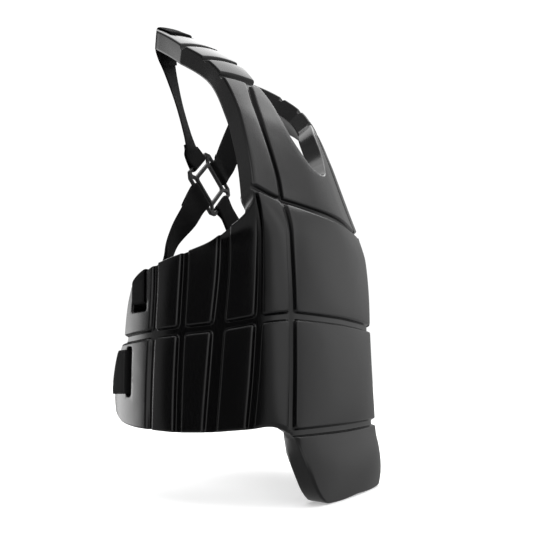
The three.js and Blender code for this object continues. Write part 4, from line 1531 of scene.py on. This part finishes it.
@dataclass
class Studio:
    """Pale floor, broad light, white surround and the camera."""

    form: Form
    floor: float  # height in metres
    floor_half: float = 20.0
    eye: tuple[float, float, float] = (-685.0, -315.5, 54.6)  # in model millimetres
    look: tuple[float, float, float] = (0.833, 0.5225, 0.1805)
    picture: float = 533.0  # width and focal length in pixels
    focal: float = 617.5
    sensor: float = 36.0
    nearest: float = 0.01
    backdrop: float = 1.05
    ambient: float = 0.37
    shades: tuple[Glow, ...] = (
        Glow((-0.98, 0.14, 0.0), 0.97, 0.85, 0.95),
        Glow((0.25, 0.83, 0.48), 0.96, 0.86, 0.85),
    )
    glows: tuple[Glow, ...] = (
        Glow((0.87, -0.36, 0.34), 0.98, 0.9, 0.2),
        Glow((0.5, -0.86, 0.08), 0.95, 0.72, 0.35),
        Glow((0.05, -0.72, 0.69), 0.95, 0.78, 0.6),
        Glow((-0.45, -0.85, 0.28), 0.96, 0.82, 0.7),
        Glow((-0.04, 0.997, -0.04), 0.985, 0.92, 2.8),
    )
    sky: float = 2.8
    sky_spread: float = 80.0  # degrees
    sky_tilt: tuple[float, float] = (-12.0, 20.0)

    def lay_floor(self, finish: bpy.types.Material) -> None:
        """Lays the floor under the flap's lower edge.

        Args:
            finish: The floor's material.
        """
        parts = MeshParts()
        side = np.linspace(-self.floor_half, self.floor_half, 5)
        x, y = np.meshgrid(side, side)
        parts.grid(np.stack([x, y, np.full_like(x, self.floor)], axis=-1), False)
        floor = show("floor", parts.mesh("floor"), finish)
        floor.visible_glossy = False

    def light(self) -> None:
        """Sets up the broad light from above."""
        sky = bpy.data.lights.new("sky_box", "SUN")
        sky.angle = math.radians(self.sky_spread)
        sky.energy = self.sky
        holder = bpy.data.objects.new("sky_box", sky)
        holder.rotation_euler = (*map(math.radians, self.sky_tilt), 0.0)
        bpy.context.scene.collection.objects.link(holder)

    def surround(self) -> None:
        """Makes the surround white to the camera, and soft light and dark areas to everything else."""
        world = bpy.data.worlds.new("studio")
        world.use_nodes = True
        bpy.context.scene.world = world
        shader = Shader(world.node_tree)
        way = shader.node("ShaderNodeTexCoord", output="Generated")

        def share(glow: Glow) -> Wire:
            """How much of an area shows in a direction, fading smoothly at its edge.

            Args:
                glow: The area.
            Returns:
                A share from 0 to 1.
            """
            ends = {0: way, 1: Vector(glow.way).normalized()}
            facing = shader.node("ShaderNodeVectorMath", {"operation": "DOT_PRODUCT"}, ends, "Value")
            limits = {"Value": facing, "From Min": glow.outer, "From Max": glow.inner}
            return shader.node("ShaderNodeMapRange", {"interpolation_type": "SMOOTHSTEP"}, limits)

        bright: Wire | float = self.ambient
        for glow in self.glows:
            bright = share(glow) * glow.bright + bright
        for shade in self.shades:
            bright = bright * (1 - share(shade) * shade.bright)
        seen = shader.node("ShaderNodeLightPath", output="Is Camera Ray")
        strength = bright * (1 - seen) + seen * self.backdrop
        white = (1.0, 1.0, 1.0, 1.0)
        back = shader.node("ShaderNodeBackground", inputs={"Color": white, "Strength": strength})
        shader.node("ShaderNodeOutputWorld", inputs={"Surface": back})

    def place_camera(self) -> None:
        """Puts the camera at the photograph's angle."""
        camera = bpy.data.cameras.new("camera")
        camera.sensor_width = self.sensor
        camera.lens = self.focal / self.picture * self.sensor
        camera.clip_start = self.nearest
        holder = bpy.data.objects.new("camera", camera)
        holder.location = self.form.to_row(np.array(self.eye)).tolist()
        holder.rotation_euler = Vector(self.look).to_track_quat("-Z", "Y").to_euler()
        bpy.context.scene.collection.objects.link(holder)
        bpy.context.scene.camera = holder

    def build(self) -> None:
        """Sets up the whole studio."""
        self.place_camera()
        self.lay_floor(PaleFloor().make())
        self.light()
        self.surround()
        bpy.context.scene.view_settings.view_transform = "Standard"


def measure(piece: bpy.types.Object) -> str:
    """The piece's name and its number of faces, for the log."""
    return f"{piece.name}: {len(piece.data.polygons)} faces"


def main() -> None:
    """Builds the guard's pieces in order, then the studio."""
    logging.basicConfig(level=logging.INFO, format="%(message)s")
    form = Form()
    pattern = Pattern(FoamSizes())
    buckle = BuckleSizes()
    pieces = [
        FoamShell(form, pattern).build(DippedVinyl().make()),
        CrossBuckle(form, buckle).build(MouldedPlastic().make()),
        *Straps(form, pattern, buckle, WebSizes()).build(Webbing().make()),
    ]
    for piece in pieces:
        LOG.info(measure(piece))
    Studio(form, CAD_BOX[0][2]).build()


if __name__ == "__main__":
    main()
